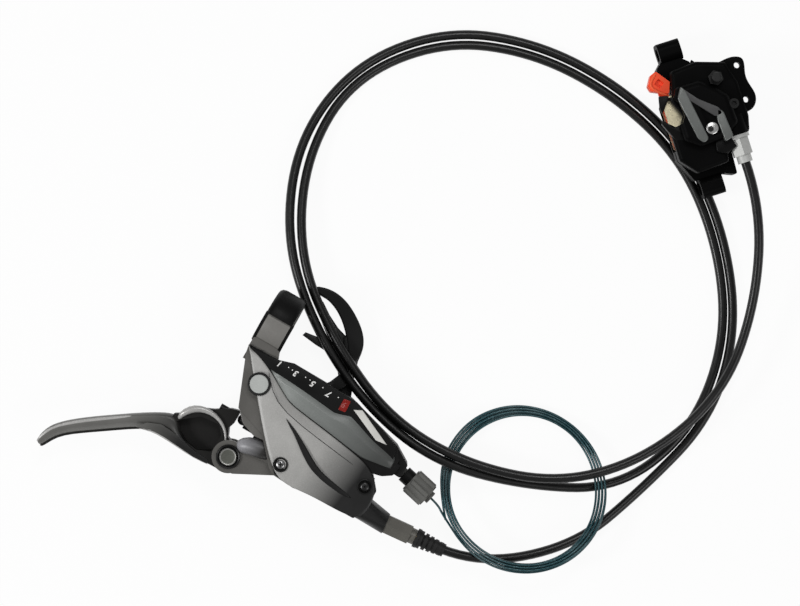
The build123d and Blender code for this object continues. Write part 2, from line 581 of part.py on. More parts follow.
def tube(route, radius, name):
    radii = corner_radii(route)
    path = FilletPolyline(*route, radius=radii)
    solid = sweep(Plane(origin=path @ 0, z_dir=path % 0) * Circle(radius), path=path)
    print(name, "length", round(path.length, 1), "radii", [round(r) for r in radii],
          "volume ratio", round(solid.volume / (math.pi * radius ** 2 * path.length), 4))
    return solid


def coil_frame():
    """Where the cable's coil lies: leaning on the hose, high on the side towards the lever unit."""
    return Pos(COIL_X, COIL_Y, COIL_Z) * Rot(0, 0, -60) * Rot(0, COIL_TILT, 0)


def cable_coil():
    return coil_frame() * Torus(COIL_R, COIL_TUBE_R)


def cable_lead():
    yaw = math.radians(ADJUST_YAW)
    start = (ADJUST_X + 19.4 * math.cos(yaw), ADJUST_Y + 19.4 * math.sin(yaw), ADJUST_Z)
    route = [start, (start[0] - 5, start[1] + 1.14, ADJUST_Z), (start[0] - 9.4, start[1] + 4.2, -10.4)]
    return tube(route, CABLE_R, "shift_cable_lead")


# Caliper
def in_caliper(shape):
    return Pos(CAL_X, CAL_Y, CAL_Z) * Rot(0, 0, CAL_YAW) * shape


BODY_OUTLINE = [
    (-26, -6), (-13, -9), (-11, -15.5), (20, -15.5), (29, -8), (28, 9), (16, 11), (16, 24), (8, 26), (-10, 26),
    (-22, 23), (-27, 8),
]
DOME_OUTLINE = [
    (-17, -7), (-9, -10.5), (11, -10.5), (16.5, -3), (15.4, 10.5), (10, 19), (-5, 18.3), (-10.3, 13.6), (-16.8, 6),
]
RECESS_OUTLINE = [(-9, 1), (12.5, 3.3), (13.5, 12), (3.5, 12.8)]
NOTCH_OUTLINE = [(-12.5, -17), (-11.5, -9.5), (-8, -6.8), (-1.5, -6.8), (2.2, -9), (2.4, -12.5), (-2, -17)]
WING_EDGE = [
    (-28.7, 6.8), (-25.3, 10.2), (-23.1, 18.4), (-23.8, 27), (-21.7, 31.9), (-13, 31.3), (-6.4, 32.1), (-1.6, 33.1),
    (2.7, 32), (5.4, 29), (6.4, 24.4), (9, 20.6), (13, 19),
]
WEB_A = [(-33, -7.5), (-29.6, -10.9), (-21, -10.9), (-19, 8), (-28.7, 6.8), (-32, 3)]
WEB_B = [(18, -15.5), (32, -9.5), (33, 7), (35.5, 13), (22, 13.8), (16, 8)]
LUGS = [(-18.8, 28.4), (-0.3, 27.5)]
BODY_BOLTS = [(-15.5, 19.5), (11.5, 19.5)]
BOLT_R = 2.6
NIPPLE_X, NIPPLE_Y, NIPPLE_R = -15.5, 15.0, 2.5


def body_top():
    return CAL_HALF * BODY_SHARE


def half_body(sign):
    """One half of the caliper body, with the dome over its piston bore."""
    z0, z1 = sorted((0, sign * body_top()))
    body = slab(BODY_OUTLINE, z0, z1, 2)
    body = soften(body, top_edges(body, sign * body_top()), 2.5)
    za, zb = sorted((sign * 2, sign * CAL_HALF))
    dome = slab(DOME_OUTLINE, za, zb, 3)
    return body + soften(dome, top_edges(dome, sign * CAL_HALF), 3.5)


def half_cuts(sign):
    """Rotor slot, pad pocket with its window, piston bore with the seal's groove, and the axle's hole."""
    pocket = lining_z() + LINING_THICK + PLATE_THICK + GAP
    cut = Pos(0, -16, 0) * Box(120, 60, 2 * SLOT_HALF)
    cut += Pos(0, -6, 0) * Box(29, 40, 2 * pocket) + Pos(0, 17, 0) * Box(11.2, 14, 2 * pocket)
    za, zb = sorted((0, sign * (CAL_HALF - CROWN)))
    cut += post(0, PISTON_Y, PISTON_R, za, zb)
    za, zb = sorted((sign * SEAL_Z, sign * (SEAL_Z + 2)))
    cut += post(0, PISTON_Y, PISTON_R + 1.4, za, zb)
    return cut + post(0, PAD_AXLE_Y, PAD_AXLE_R, -CAL_HALF, CAL_HALF)


def caliper_body_outer():
    body = half_body(1)
    edge = Spline(*WING_EDGE)
    wing = extrude(Pos(0, 0, 3.5) * make_face(edge + Polyline(WING_EDGE[-1], (12, 6), (-20, 0), WING_EDGE[0])), 5)
    wing = soften(wing, top_edges(wing, 8.5), 1.5)
    for x, y in LUGS:
        wing -= post(x, y, 1.6, 0, 12)
    body += wing + rod(0, 0, NUT_Y, NUT_Z, 6.6, 6, 16)
    body -= slab(RECESS_OUTLINE, CAL_HALF - CROWN / 2, CAL_HALF + 1, 1.5)
    body += post(8.2, 7.6, 3.2, CAL_HALF - CROWN / 2 - 0.5, CAL_HALF - 0.4)
    body -= hex_socket(8.2, 7.6, 3, CAL_HALF - CROWN / 2, CAL_HALF)
    body -= slab(NOTCH_OUTLINE, lining_z() + LINING_THICK, CAL_HALF + 1)
    body -= half_cuts(1)
    body -= post(0, PAD_AXLE_Y, 2.8, body_top(), CAL_HALF + 1)
    body -= rod(0, 0, NUT_Y, NUT_Z, 3.95, 9, 17) + rod(0, 0, NUT_Y, NUT_Z, 1.2, 2, 10)
    body -= rod(0, 0, NUT_Y, NUT_Z, 6.2 + GAP, 16, 40)
    for x, y in BODY_BOLTS:
        body -= post(x, y, BOLT_R, -1, 4.4)
    body -= post(NIPPLE_X, NIPPLE_Y, NIPPLE_R, body_top() - 3.4, body_top() + 1)
    body -= post(NIPPLE_X, NIPPLE_Y, 0.8, body_top() - 7, body_top())
    return in_caliper(body)


def caliper_body_inner():
    body = half_body(-1) + slab(WEB_A, -CAL_HALF, -4.2, 1) + slab(WEB_B, -CAL_HALF, -4.2, 1)
    for side in (-1, 1):
        x = side * EAR_SPACING / 2
        ear = Pos(x, (EAR_SEAT_Y + EAR_FACE_Y) / 2, (EAR_LOW + EAR_HIGH) / 2) * Box(
            EAR_WIDTH, EAR_SEAT_Y - EAR_FACE_Y, EAR_HIGH - EAR_LOW)
        body += soften(ear, ear.edges().filter_by(Axis.Y), 4)
    for side in (-1, 1):
        slot = Plane(origin=(side * EAR_SPACING / 2, EAR_FACE_Y - 2, (EAR_LOW + EAR_HIGH) / 2), x_dir=(0, 0, 1),
                     z_dir=(0, 1, 0)) * SlotOverall(EAR_SLOT_L, EAR_SLOT_W)
        body -= extrude(slot, EAR_SEAT_Y - EAR_FACE_Y + 4)
    for x, y in BODY_BOLTS:
        body -= post(x, y, BOLT_R + 0.2, -30, 1) + post(x, y, 4.6, -30, -11)
    return in_caliper(body - half_cuts(-1))


def body_bolts():
    bolts = []
    for x, y in BODY_BOLTS:
        bolt = post(x, y, BOLT_R, -11, 4.2) + post(x, y, 4.4, -15.5, -11)
        bolts.append(in_caliper(bolt - hex_socket(x, y, 5, -15.6, -12.8)))
    return Compound(children=bolts)


def lining_z():
    return SPACER_THICK / 2 + LINING_GAP


def pad_outline(plate):
    if plate:
        return [(-14, -14.8), (14, -14.8), (14, 10), (10, 12.5), (5, 12.5), (5, 23), (-5, 23), (-5, 12.5), (-10, 12.5),
                (-14, 10)]
    return [(-12.5, -13.4), (12.5, -13.4), (12.5, 7), (9, 9), (-9, 9), (-12.5, 7)]


def pad_part(sign, plate):
    a = lining_z() + (LINING_THICK if plate else 0)
    b = a + (PLATE_THICK if plate else LINING_THICK)
    z0, z1 = sorted((sign * a, sign * b))
    piece = slab(pad_outline(plate), z0, z1, 1.2)
    if plate:
        piece -= post(0, PAD_AXLE_Y, PAD_AXLE_R + FIT, -30, 30)
    return in_caliper(piece)


def brake_piston(sign):
    face = lining_z() + LINING_THICK + PLATE_THICK
    back = CAL_HALF - CROWN - PISTON_BACK
    z0, z1 = sorted((sign * face, sign * back))
    piston = post(0, PISTON_Y, PISTON_R - FIT, z0, z1)
    z2, z3 = sorted((sign * (face - 1), sign * (back - 2)))
    return in_caliper(piston - post(0, PISTON_Y, 6.5, z2, z3))


def piston_seals():
    rings = []
    for sign in (-1, 1):
        z0, z1 = sorted((sign * SEAL_Z, sign * (SEAL_Z + 2)))
        ring = post(0, PISTON_Y, PISTON_R + 1.4, z0, z1) - post(0, PISTON_Y, PISTON_R - 0.02, z0 - 1, z1 + 1)
        rings.append(in_caliper(ring))
    return Compound(children=rings)


def pad_spring():
    """Folded leaf between the backing plates, hooked on the pad axle."""
    leaf = Pos(0, 14.8, 0) * Box(9.6, 0.5, 9.8)
    post_up = Pos(0, 16.7, 0) * Box(3, 3.4, 0.6)
    eye = post(0, PAD_AXLE_Y, PAD_AXLE_R + 0.8, -1.2, 1.2) - post(0, PAD_AXLE_Y, PAD_AXLE_R, -2, 2)
    wings = Pos(0, 11.6, 0) * (Box(9.6, 0.5, 0.8) + Pos(0, 1.6, 0) * Box(0.8, 3.2, 0.8))
    return in_caliper(leaf + post_up + eye + wings)


def pad_axle():
    top = body_top() + 3
    axle = post(0, PAD_AXLE_Y, PAD_AXLE_R, 0.8 - body_top(), top) + post(0, PAD_AXLE_Y, 2.6, body_top(), top)
    return in_caliper(axle - hex_socket(0, PAD_AXLE_Y, 2.5, top - 1.8, top + 1))


def bleed_nipple():
    spot, z = (NIPPLE_X, NIPPLE_Y), body_top()
    nipple = post(*spot, NIPPLE_R, z - 3.4, z + 1) + post(*spot, 1.6, z + 1, z + 6.6)
    return in_caliper(nipple + hex_socket(*spot, 7, z, z + 2.6) - post(*spot, 0.6, z - 4, z + 8))


def bleed_cap():
    spot, z = (NIPPLE_X, NIPPLE_Y), body_top()
    cap = post(*spot, 2.6, z + 2.8, z + 7.6)
    cap = soften(cap, top_edges(cap, z + 7.6), 1)
    return in_caliper(cap - post(*spot, 1.6, z + 2.6, z + 6.6))


def caliper_hose_nut():
    a = (0, 0, NUT_Y, NUT_Z)
    nut = rod(*a, 3.9, 9.5, 16.2) + rod(*a, 6.2, 16.2, 18) + hex_rod(*a, 9.6, 18, 27) + rod(*a, 3.9, 27, 31)
    return in_caliper(nut - rod(*a, 1.2, 9, 26))


def pad_spacer():
    """Moulded spacer that lies in the rotor slot, with its finger tab outside."""
    half = SPACER_THICK / 2
    blade = slab([(-21, -14.5), (13, -14.5), (13, 8), (-13, 8), (-13, -9.5), (-21, -9.5)], -half, half, 1)
    tab = slab([(-28.6, -12.8), (-21.2, -7.4), (-15.4, -9.6), (-19.4, -18.2), (-22.4, -19), (-27.4, -16)], -3.4, 6.2, 0.8)
    tab -= slab([(-24.6, -12.6), (-21.6, -10.6), (-19.4, -13.4), (-22.4, -15.6)], 4.4, 8)
    return in_caliper(blade + tab)


def main():
    os.makedirs("parts", exist_ok=True)
    save("bracket", bracket())
    save("clamp_bolt", clamp_bolt())
    save("reservoir_cover", reservoir_cover())
    save("reservoir_diaphragm", reservoir_diaphragm())
    save("bleed_screw", bleed_screw())
    save("bleed_screw_seal", bleed_screw_seal())
    save("cover_screws", cover_screws())
    save("brake_lever_blade", lever_blade())
    save("pivot_bush", pivot_bush())
    save("pivot_bolt", pivot_bolt())
    save("reach_screw", reach_screw())
    save("push_rod", push_rod())
    save("master_piston", master_piston())
    save("secondary_cup", cup(3))
    save("primary_cup", cup(17))
    save("master_spring", master_spring())
    save("retaining_ring", retaining_ring())
    save("dust_boot", dust_boot())
    save("shift_housing", shift_housing())
    save("indicator_cover", indicator_cover())
    save("gear_scale", gear_scale())
    save("gear_needle", gear_needle())
    save("bottom_cover", bottom_cover())
    save("ratchet_axle", ratchet_axle())
    save("axle_nut", axle_nut())
    save("index_wheel", index_wheel())
    save("cable_drum", cable_drum())
    save("cable_nipple", cable_nipple())
    save("drum_spring", drum_spring())
    save("hold_pawl", hold_pawl())
    save("pawl_pin", pawl_pin())
    save("main_lever", main_lever())
    save("release_lever", release_lever())
    save("release_pin", release_pin())
    save("barrel_adjuster", barrel_adjuster())
    save("adjuster_spring", adjuster_spring())
    save("drum_cable", drum_cable())
    save("shift_cable_lead", cable_lead())
    save("shift_cable_coil", cable_coil())
    save("lever_hose_nut", lever_hose_nut())
    save("olive", olive())
    save("connector_insert", connector_insert())
    save("hose_boot", hose_boot())
    save("brake_hose", tube(HOSE_ROUTE, HOSE_R, "brake_hose"))
    save("caliper_hose_nut", caliper_hose_nut())
    save("caliper_body_outer", caliper_body_outer())
    save("caliper_body_inner", caliper_body_inner())
    save("body_bolts", body_bolts())
    save("outer_piston", brake_piston(1))
    save("inner_piston", brake_piston(-1))
    save("piston_seals", piston_seals())
    save("outer_pad_plate", pad_part(1, True))
    save("inner_pad_plate", pad_part(-1, True))
    save("outer_pad_lining", pad_part(1, False))
    save("inner_pad_lining", pad_part(-1, False))
    save("pad_spring", pad_spring())
    save("pad_axle", pad_axle())
    save("bleed_nipple", bleed_nipple())
    save("bleed_cap", bleed_cap())
    save("pad_spacer", pad_spacer())


main()
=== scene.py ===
"""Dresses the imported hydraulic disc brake: finishes, hose, cable coil, floor, lights and camera."""

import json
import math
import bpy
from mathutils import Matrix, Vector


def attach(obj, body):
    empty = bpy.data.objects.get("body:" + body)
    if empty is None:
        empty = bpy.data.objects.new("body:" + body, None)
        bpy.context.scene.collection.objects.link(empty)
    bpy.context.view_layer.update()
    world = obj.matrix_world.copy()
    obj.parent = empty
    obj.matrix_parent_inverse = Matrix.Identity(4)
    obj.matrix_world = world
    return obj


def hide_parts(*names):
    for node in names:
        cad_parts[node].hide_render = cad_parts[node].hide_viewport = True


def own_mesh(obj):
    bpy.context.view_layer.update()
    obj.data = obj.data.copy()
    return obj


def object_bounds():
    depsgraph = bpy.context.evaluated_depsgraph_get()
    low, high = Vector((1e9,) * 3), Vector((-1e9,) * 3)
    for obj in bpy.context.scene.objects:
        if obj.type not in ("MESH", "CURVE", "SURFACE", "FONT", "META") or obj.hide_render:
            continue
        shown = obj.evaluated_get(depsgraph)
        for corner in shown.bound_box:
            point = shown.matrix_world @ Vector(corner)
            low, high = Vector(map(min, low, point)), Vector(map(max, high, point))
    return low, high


bl_info = {
    "name": "Hydraulic disc brake dresser",
    "version": (1, 0, 0),
    "blender": (4, 5, 0),
    "location": "3D View > Sidebar > Disc Brake",
    "description": "Gives a disc brake and shift lever set its finishes, hose, cable coil and studio",
    "category": "Object",
}

import bmesh
import bpy
from bpy.props import FloatProperty, FloatVectorProperty, IntProperty, PointerProperty
from mathutils import Matrix, Vector

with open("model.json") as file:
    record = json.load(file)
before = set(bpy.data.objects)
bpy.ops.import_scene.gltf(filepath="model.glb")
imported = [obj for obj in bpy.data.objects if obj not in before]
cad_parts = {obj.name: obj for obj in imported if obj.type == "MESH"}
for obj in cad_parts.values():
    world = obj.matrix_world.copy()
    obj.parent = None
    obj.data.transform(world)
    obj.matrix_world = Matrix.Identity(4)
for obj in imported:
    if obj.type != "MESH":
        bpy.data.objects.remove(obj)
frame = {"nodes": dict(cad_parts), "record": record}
CAD_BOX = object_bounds()
MM = 0.001


def mm(*values):
    """Millimetres of the drawing as metres of the scene."""
    return Vector(values) * MM


class Tint:
    """A number that varies over a surface, and the sums and products made of it."""

    def __init__(self, finish, socket):
        self.finish, self.socket = finish, socket

    def _sum(self, operation, a, b, clamp=False):
        return self.finish.node("ShaderNodeMath", {0: a, 1: b}, operation=operation, use_clamp=clamp)

    def __add__(self, other):
        return self._sum("ADD", self, other)

    def __radd__(self, other):
        return self._sum("ADD", other, self)

    def __sub__(self, other):
        return self._sum("SUBTRACT", self, other)

    def __mul__(self, other):
        return self._sum("MULTIPLY", self, other)

    def clamped(self):
        """Held between 0 and 1."""
        return self._sum("ADD", self, 0.0, clamp=True)


class Finish:
    """A material being built, with its Principled shader."""

    def __init__(self, name):
        self.material = bpy.data.materials.new(name)
        self.material.use_nodes = True
        self.tree = self.material.node_tree
        self.tree.nodes.clear()
        self.output = self.tree.nodes.new("ShaderNodeOutputMaterial")
        self.shader = self.tree.nodes.new("ShaderNodeBsdfPrincipled")
        self.tree.links.new(self.shader.outputs[0], self.output.inputs[0])

    def feed(self, node, sockets):
        """Sets or links the named or numbered sockets of a node."""
        for key, value in sockets.items():
            if isinstance(value, Tint):
                self.tree.links.new(value.socket, node.inputs[key])
            else:
                node.inputs[key].default_value = value

    def node(self, kind, sockets=(), out=0, **options):
        """Adds a node of that kind, with these sockets and options, and gives one of its outputs."""
        made = self.tree.nodes.new(kind)
        for key, value in options.items():
            setattr(made, key, value)
        self.feed(made, dict(sockets))
        return Tint(self, made.outputs[out])

    def place(self, scale=(1, 1, 1), rotation=(0, 0, 0)):
        """Object coordinates, turned and scaled."""
        where = self.node("ShaderNodeTexCoord", out="Object")
        return self.node("ShaderNodeMapping", {"Vector": where, "Rotation": rotation, "Scale": scale})

    def noise(self, scale, detail, roughness=0.5, where=None):
        """Cloudy noise, finer as scale grows."""
        sockets = {"Scale": scale, "Detail": detail, "Roughness": roughness}
        sockets["Vector"] = where or self.node("ShaderNodeTexCoord", out="Object")
        return self.node("ShaderNodeTexNoise", sockets)

    def span(self, value, low, high, to_low=0.0, to_high=1.0):
        """value from low to high becomes to_low to to_high, and no further."""
        sockets = {0: value, 1: low, 2: high, 3: to_low, 4: to_high}
        return self.node("ShaderNodeMapRange", sockets, clamp=True)

    def mix(self, share, a, b):
        """Colour a, and b where share is 1."""
        return self.node("ShaderNodeMix", {0: share, 6: a, 7: b}, out=2, data_type="RGBA")

    def bump(self, height, distance, strength):
        """Normals of a surface that rises and falls with height."""
        return self.node("ShaderNodeBump", {"Height": height, "Distance": distance, "Strength": strength})

    def done(self, **sockets):
        """Sets the shader's sockets, named with underscores for spaces, and gives the material."""
        self.feed(self.shader, {name.replace("_", " "): value for name, value in sockets.items()})
        return self.material


def grey(value):
    """A colour with the same red, green and blue."""
    return (value, value, value)


def shade(colour, factor):
    """A colour made lighter or darker."""
    return (*(min(1.0, c * factor) for c in colour[:3]), 1.0)


# how far the edge of the painted shade wanders, in millimetres
FADE_RAGGED = 6.0


def painted(name, colour, rough, flake=0.25, wear=0.35, metal=0.0, painted_shade=None, sheen=0.4):
    """Satin paint on a casting: fine grain, cloudy sheen, handling wear, and painted shade along the unit if
    wanted.

    The painted shade is given as (start, end, turn, colour): from start to end along the turned X axis, in
    millimetres, the paint goes over to that colour.
    """
    f = Finish(name)
    grain = f.noise(2600, 2, 0.6)
    cloud = f.noise(55, 4, 0.55)
    rubbed = f.span(f.noise(240, 5, 0.7), 0.62, 0.78)
    body = f.mix(f.span(cloud, 0.3, 0.7), shade(colour, 0.88), shade(colour, 1.12))
    body = f.mix(f.span(grain, 0.45, 0.75) * flake, body, shade(colour, 1.7))
    body = f.mix(rubbed * wear * 0.4, body, shade(colour, 1.5))
    # painted shade: the paint darkens along the turned X axis towards its far end
    if painted_shade:
        start, end, turn, dark = painted_shade
        along = f.node("ShaderNodeSeparateXYZ", {0: f.place(rotation=(0, 0, turn))})
        ragged = along + (cloud - 0.5) * (FADE_RAGGED * MM)
        body = f.mix(f.span(ragged, start * MM, end * MM), body, (*dark[:3], 1.0))
    roughness = f.span(cloud, 0.25, 0.75, rough - 0.06, rough + 0.06) + rubbed * wear * 0.12
    return f.done(Base_Color=body, Roughness=roughness, Metallic=metal, Specular_IOR_Level=sheen,
                  Normal=f.bump(grain, 0.04 * MM, 0.35))


def moulded(name, colour, rough, grain_size=1500, depth=0.06, sheen=0.35):
    """Moulded plastic or rubber: fine spark-eroded grain and dull rubbed patches."""
    f = Finish(name)
    grain = f.noise(grain_size, 3, 0.6)
    cloud = f.noise(70, 4, 0.6)
    body = f.mix(f.span(cloud, 0.3, 0.7), shade(colour, 0.85), shade(colour, 1.15))
    body = f.mix(f.span(f.noise(330, 5, 0.7), 0.6, 0.8) * 0.3, body, shade(colour, 1.8))
    roughness = f.span(cloud, 0.3, 0.7, rough - 0.05, rough + 0.07)
    return f.done(Base_Color=body, Roughness=roughness, Specular_IOR_Level=sheen,
                  Normal=f.bump(grain, depth * MM, 0.5))


def tinted(name, colour, alpha):
    """Clear moulded plastic with a tint, as the needle's window."""
    f = Finish(name)
    cloud = f.noise(300, 3, 0.6)
    body = f.mix(f.span(cloud, 0.3, 0.7), shade(colour, 0.85), shade(colour, 1.1))
    return f.done(Base_Color=body, Roughness=f.span(cloud, 0.3, 0.7, 0.18, 0.26), Alpha=alpha)


def bare_metal(name, colour, rough):
    """Machined metal: fine lathe and brush lines, with a little tarnish."""
    f = Finish(name)
    lines = f.noise(900, 3, 0.6, f.place(scale=(1, 1, 12)))
    tarnish = f.noise(160, 4, 0.6)
    body = f.mix(f.span(tarnish, 0.35, 0.75), shade(colour, 1.05), shade(colour, 0.78))
    roughness = f.span(lines, 0.3, 0.7, rough - 0.07, rough + 0.1)
    return f.done(Base_Color=body, Roughness=roughness, Metallic=1.0,
                  Normal=f.bump(lines, 0.03 * MM, 0.4))


def sheath(name, colour):
    """Extruded hose sheath: half-gloss black with faint long scuffs."""
    f = Finish(name)
    scuff = f.span(f.noise(420, 5, 0.75), 0.55, 0.78)
    body = f.mix(f.span(f.noise(45, 3), 0.35, 0.7), shade(colour, 0.8), shade(colour, 1.3))
    body = f.mix(scuff * 0.2, body, shade(colour, 2.5))
    return f.done(Base_Color=body, Roughness=f.span(f.noise(90, 3), 0.3, 0.7, 0.28, 0.36) + scuff * 0.1,
                  Specular_IOR_Level=0.4, Normal=f.bump(f.noise(1400, 2), 0.02 * MM, 0.3))


def coated_cable(name, colour):
    """Coated steel cable: a blue-green film over bright strands."""
    f = Finish(name)
    patch = f.span(f.noise(60, 4, 0.6), 0.4, 0.65)
    body = f.mix(patch, (*colour[:3], 1.0), (0.07, 0.12, 0.13, 1.0))
    return f.done(Base_Color=body, Metallic=0.55, Roughness=f.span(f.noise(500, 3), 0.3, 0.7, 0.25, 0.45))


def colour_of(name, description, value):
    """A colour among the settings."""
    return FloatVectorProperty(name=name, description=description, default=value, subtype="COLOR", size=3)


def length_of(name, description, value):
    """A length among the settings, in metres."""
    return FloatProperty(name=name, description=description, default=value, unit="LENGTH")


class DISCBRAKE_hose(bpy.types.PropertyGroup):
    diameter: length_of("Hose diameter", "Outside of the hose sheath", 0.005)
    colour: colour_of("Sheath colour", "Colour of the hose sheath", grey(0.004))


class DISCBRAKE_cable(bpy.types.PropertyGroup):
    diameter: length_of("Cable diameter", "Outside of the coated shift cable", 0.0012)
    turns: IntProperty(name="Turns", description="Turns of cable in the coil", default=7, min=3)
    coil_radius: length_of("Coil radius", "Middle of the bundle of turns", 0.0432)
    colour: colour_of("Coating colour", "Colour of the cable's coating", (0.012, 0.055, 0.066))


class DISCBRAKE_paint(bpy.types.PropertyGroup):
    body: colour_of("Body colour", "Paint of the lever unit's casting", (0.1, 0.0965, 0.09))
    cover: colour_of("Cover colour", "Paint of the reservoir cover", (0.345, 0.342, 0.33))
    hood: colour_of("Hood colour", "Moulding over the gear indicator", (0.235, 0.25, 0.24))
    # painted shade: the colour that the paint of the cover and casting darkens to at the unit's far end
    shadow: colour_of("Far end colour", "Paint at the cover's far end", grey(0.003))
    caliper: colour_of("Caliper colour", "Paint of the caliper's halves", (0.0025, 0.0025, 0.0026))


class DISCBRAKE_studio(bpy.types.PropertyGroup):
    floor: colour_of("Floor colour", "Colour of the floor", grey(0.86))
    lamp_power: FloatProperty(name="Lamp power", description="Power of the large soft lamp",
                              default=9.5, unit="POWER")
    air: FloatProperty(name="Air light", description="Even light from all sides", default=0.3)
    glow: FloatProperty(name="Floor whiteness", default=0.93,
                        description="How far the floor's own shade gives way to white")
    view_width: length_of("View width", "Width of what the camera sees", 0.421)
    distance: length_of("Camera distance", "From the camera to the set", 1.5)


def settings(name):
    """The scene's settings of one group."""
    return getattr(bpy.context.scene, "discbrake_" + name)


def placed(name, data):
    """A new object of that data, in the scene."""
    made = bpy.data.objects.new(name, data)
    bpy.context.scene.collection.objects.link(made)
    return made


def smooth_curve(name, points, radius):
    """A round cord along one smooth line with these control points, in metres."""
    data = bpy.data.curves.new(name, "CURVE")
    data.dimensions = "3D"
    data.bevel_depth, data.bevel_resolution, data.resolution_u = radius, 3, 10
    data.use_fill_caps = True
    line = data.splines.new("NURBS")
    line.points.add(len(points) - 1)
    for point, place in zip(line.points, points):
        point.co = (*place, 1.0)
    line.order_u, line.use_endpoint_u = 3, True
    return placed(name, data)


HOSE_ROUTE = [mm(*point) for point in (
    (-129.4, 61.1, -12), (-153.7, 58.9, -12), (-194.5, 24.6, -19.5), (-211.1, -19.8, -23.2),
    (-223.8, -70.2, -23.5), (-212.9, -117.3, -23.5), (-182.6, -158.1, -23.5), (-142.9, -187.6, -23.5),
    (-94.5, -199.6, -23.5), (-44.8, -197.9, -23.5), (1.6, -179.6, -23.5), (34.1, -139.8, -23.5),
    (40.7, -90.4, -21), (21.3, -42.7, -17), (-13.3, -9.7, -13.6), (-58.4, 14.1, -13.6),
    (-106.3, 22.7, -10.4), (-154.8, 10.2, -17.5), (-200.1, -13.4, -22.8), (-218.5, -60.5, -23.5),
    (-210.2, -110.6, -23.5), (-182.1, -151.4, -23.5), (-142.5, -182.1, -23.5), (-94.5, -194.2, -23.5),
    (-44.5, -192.4, -23.5), (1, -173.2, -23.5), (32.4, -131.5, -23.5), (32.4, -82.5, -20.5),
    (9.1, -36, -16), (-28.5, -7, -13.4), (-75, 14.6, -12.2), (-123.8, 15.2, -10.2),
    (-172, -1.3, -10.2), (-205.2, -37.5, -10), (-221.5, -86.2, -10.2), (-212.2, -134.6, -6),
    (-188.4, -178.5, 7), (-169.25, -194.9, 8.3))]

# between the unit and the coil
CABLE_START = [mm(*point) for point in ((-115.5, 40.0, -11), (-120.5, 41.14, -11), (-124.9, 44.2, -10.4))]
COIL_CENTRE = mm(-155.5, 11.4, -14.4)
COIL_TILT, COIL_START = math.radians(11.4), math.radians(112)
# across the bundle, in millimetres: between turns, between the two layers, and the turns' waver in and up
TURN_STEP, LAYER_RISE, WAVER_OUT, WAVER_UP = 1.35, 0.78, 0.9, 0.25
# how far the turns fan out on two sides and in three lobes, and how fast the cable changes layer
FAN_SIDES, FAN_LOBES, LAYER_CHANGE = 0.25, 0.15, 2.2
# up and left as the camera sees the set
VIEW_UP, VIEW_LEFT = Vector((0.5, -0.866, 0.0)), Vector((0.866, 0.5, 0.0))


def coil_points(turns, radius, per_turn=14):
    """Loose turns in two layers: each turn lies a little further in or out than the last."""
    up = VIEW_UP * math.cos(COIL_TILT) - Vector((0, 0, math.sin(COIL_TILT)))
    lift = up.cross(VIEW_LEFT).normalized()
    if lift.z < 0:
        lift.negate()
    layer = (turns + 1) // 2
    points = []
    for step in range(1, turns * per_turn + 1):
        turn = step / per_turn
        angle = COIL_START + 2 * math.pi * turn
        fan = 1.0 + FAN_SIDES * math.sin(angle + 0.6) ** 2 + FAN_LOBES * math.sin(3 * angle)
        place = min(turn, layer - 0.5) if turn < layer else 2 * layer - 1.0 - turn
        rise = math.tanh((turn - layer + 0.25) * LAYER_CHANGE)
        spread = (layer - 1) / 2 - place
        out = radius + MM * (TURN_STEP * fan * spread + WAVER_OUT * math.sin(2 * angle + 0.4))
        height = MM * (LAYER_RISE * rise + WAVER_UP * math.sin(2 * angle))
        around = math.cos(angle) * up + math.sin(angle) * VIEW_LEFT
        points.append(COIL_CENTRE + out * around + height * lift)
    return points


# corners closer than this are one
MERGE = 0.002 * MM


def keep(name, shape, finish, slot, body="unit", stands_for=(), sharp=38.0, divide=0):
    """Makes a finished piece of a bmesh: faces outwards, smooth but for its sharp edges, on its body."""
    bmesh.ops.remove_doubles(shape, verts=shape.verts, dist=MERGE)
    bmesh.ops.recalc_face_normals(shape, faces=shape.faces)
    mesh = bpy.data.meshes.new(name)
    shape.to_mesh(mesh)
    shape.free()
    for face in mesh.polygons:
        face.use_smooth = True
    mesh.materials.append(finish)
    piece = placed(name, mesh)
    if divide:
        rounding = piece.modifiers.new("rounding", "SUBSURF")
        rounding.levels = rounding.render_levels = divide
    else:
        mesh.set_sharp_from_angle(angle=math.radians(sharp))
    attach(piece, body)
    if stands_for:
        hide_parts(*stands_for)
    return piece


def outline_face(shape, points, height):
    """One flat face with its corners at these points of the plan."""
    return shape.faces.new([shape.verts.new(mm(x, y, height)) for x, y in points])


def closed_loop(shape, places):
    """Corners at these places, and the edges that join them into a loop."""
    corners = [shape.verts.new(place) for place in places]
    return corners, [shape.edges.new(pair) for pair in zip(corners, corners[1:] + corners[:1])]


def bridge(shape, rings):
    """Skins from each ring of edges to the next."""
    for first, second in zip(rings, rings[1:]):
        bmesh.ops.bridge_loops(shape, edges=first + second)


def soften(shape, edges, width, segments):
    """Bevels edges round."""
    bmesh.ops.bevel(shape, geom=list(edges), offset=width * MM, offset_type="OFFSET", segments=segments,
                    profile=0.5, affect="EDGES", material=-1, clamp_overlap=True)


def block(points, low, high, edge, segments=3, corner=0.0):
    """A plate with this plan, its corners rounded and its upper edges softened, as a bmesh."""
    shape = bmesh.new()
    made = bmesh.ops.extrude_face_region(shape, geom=[outline_face(shape, points, low)])["geom"]
    upper = [item for item in made if isinstance(item, bmesh.types.BMVert)]
    bmesh.ops.translate(shape, verts=upper, vec=(0, 0, (high - low) * MM))
    if corner:
        upright = [side for side in shape.edges if abs(side.verts[0].co.z - side.verts[1].co.z) > 0.1 * MM]
        soften(shape, upright, corner, 5)
    top = (face for face in shape.faces if face.calc_center_median().z > (high - 0.01) * MM)
    soften(shape, {side for face in top for side in face.edges}, edge, segments)
    return shape


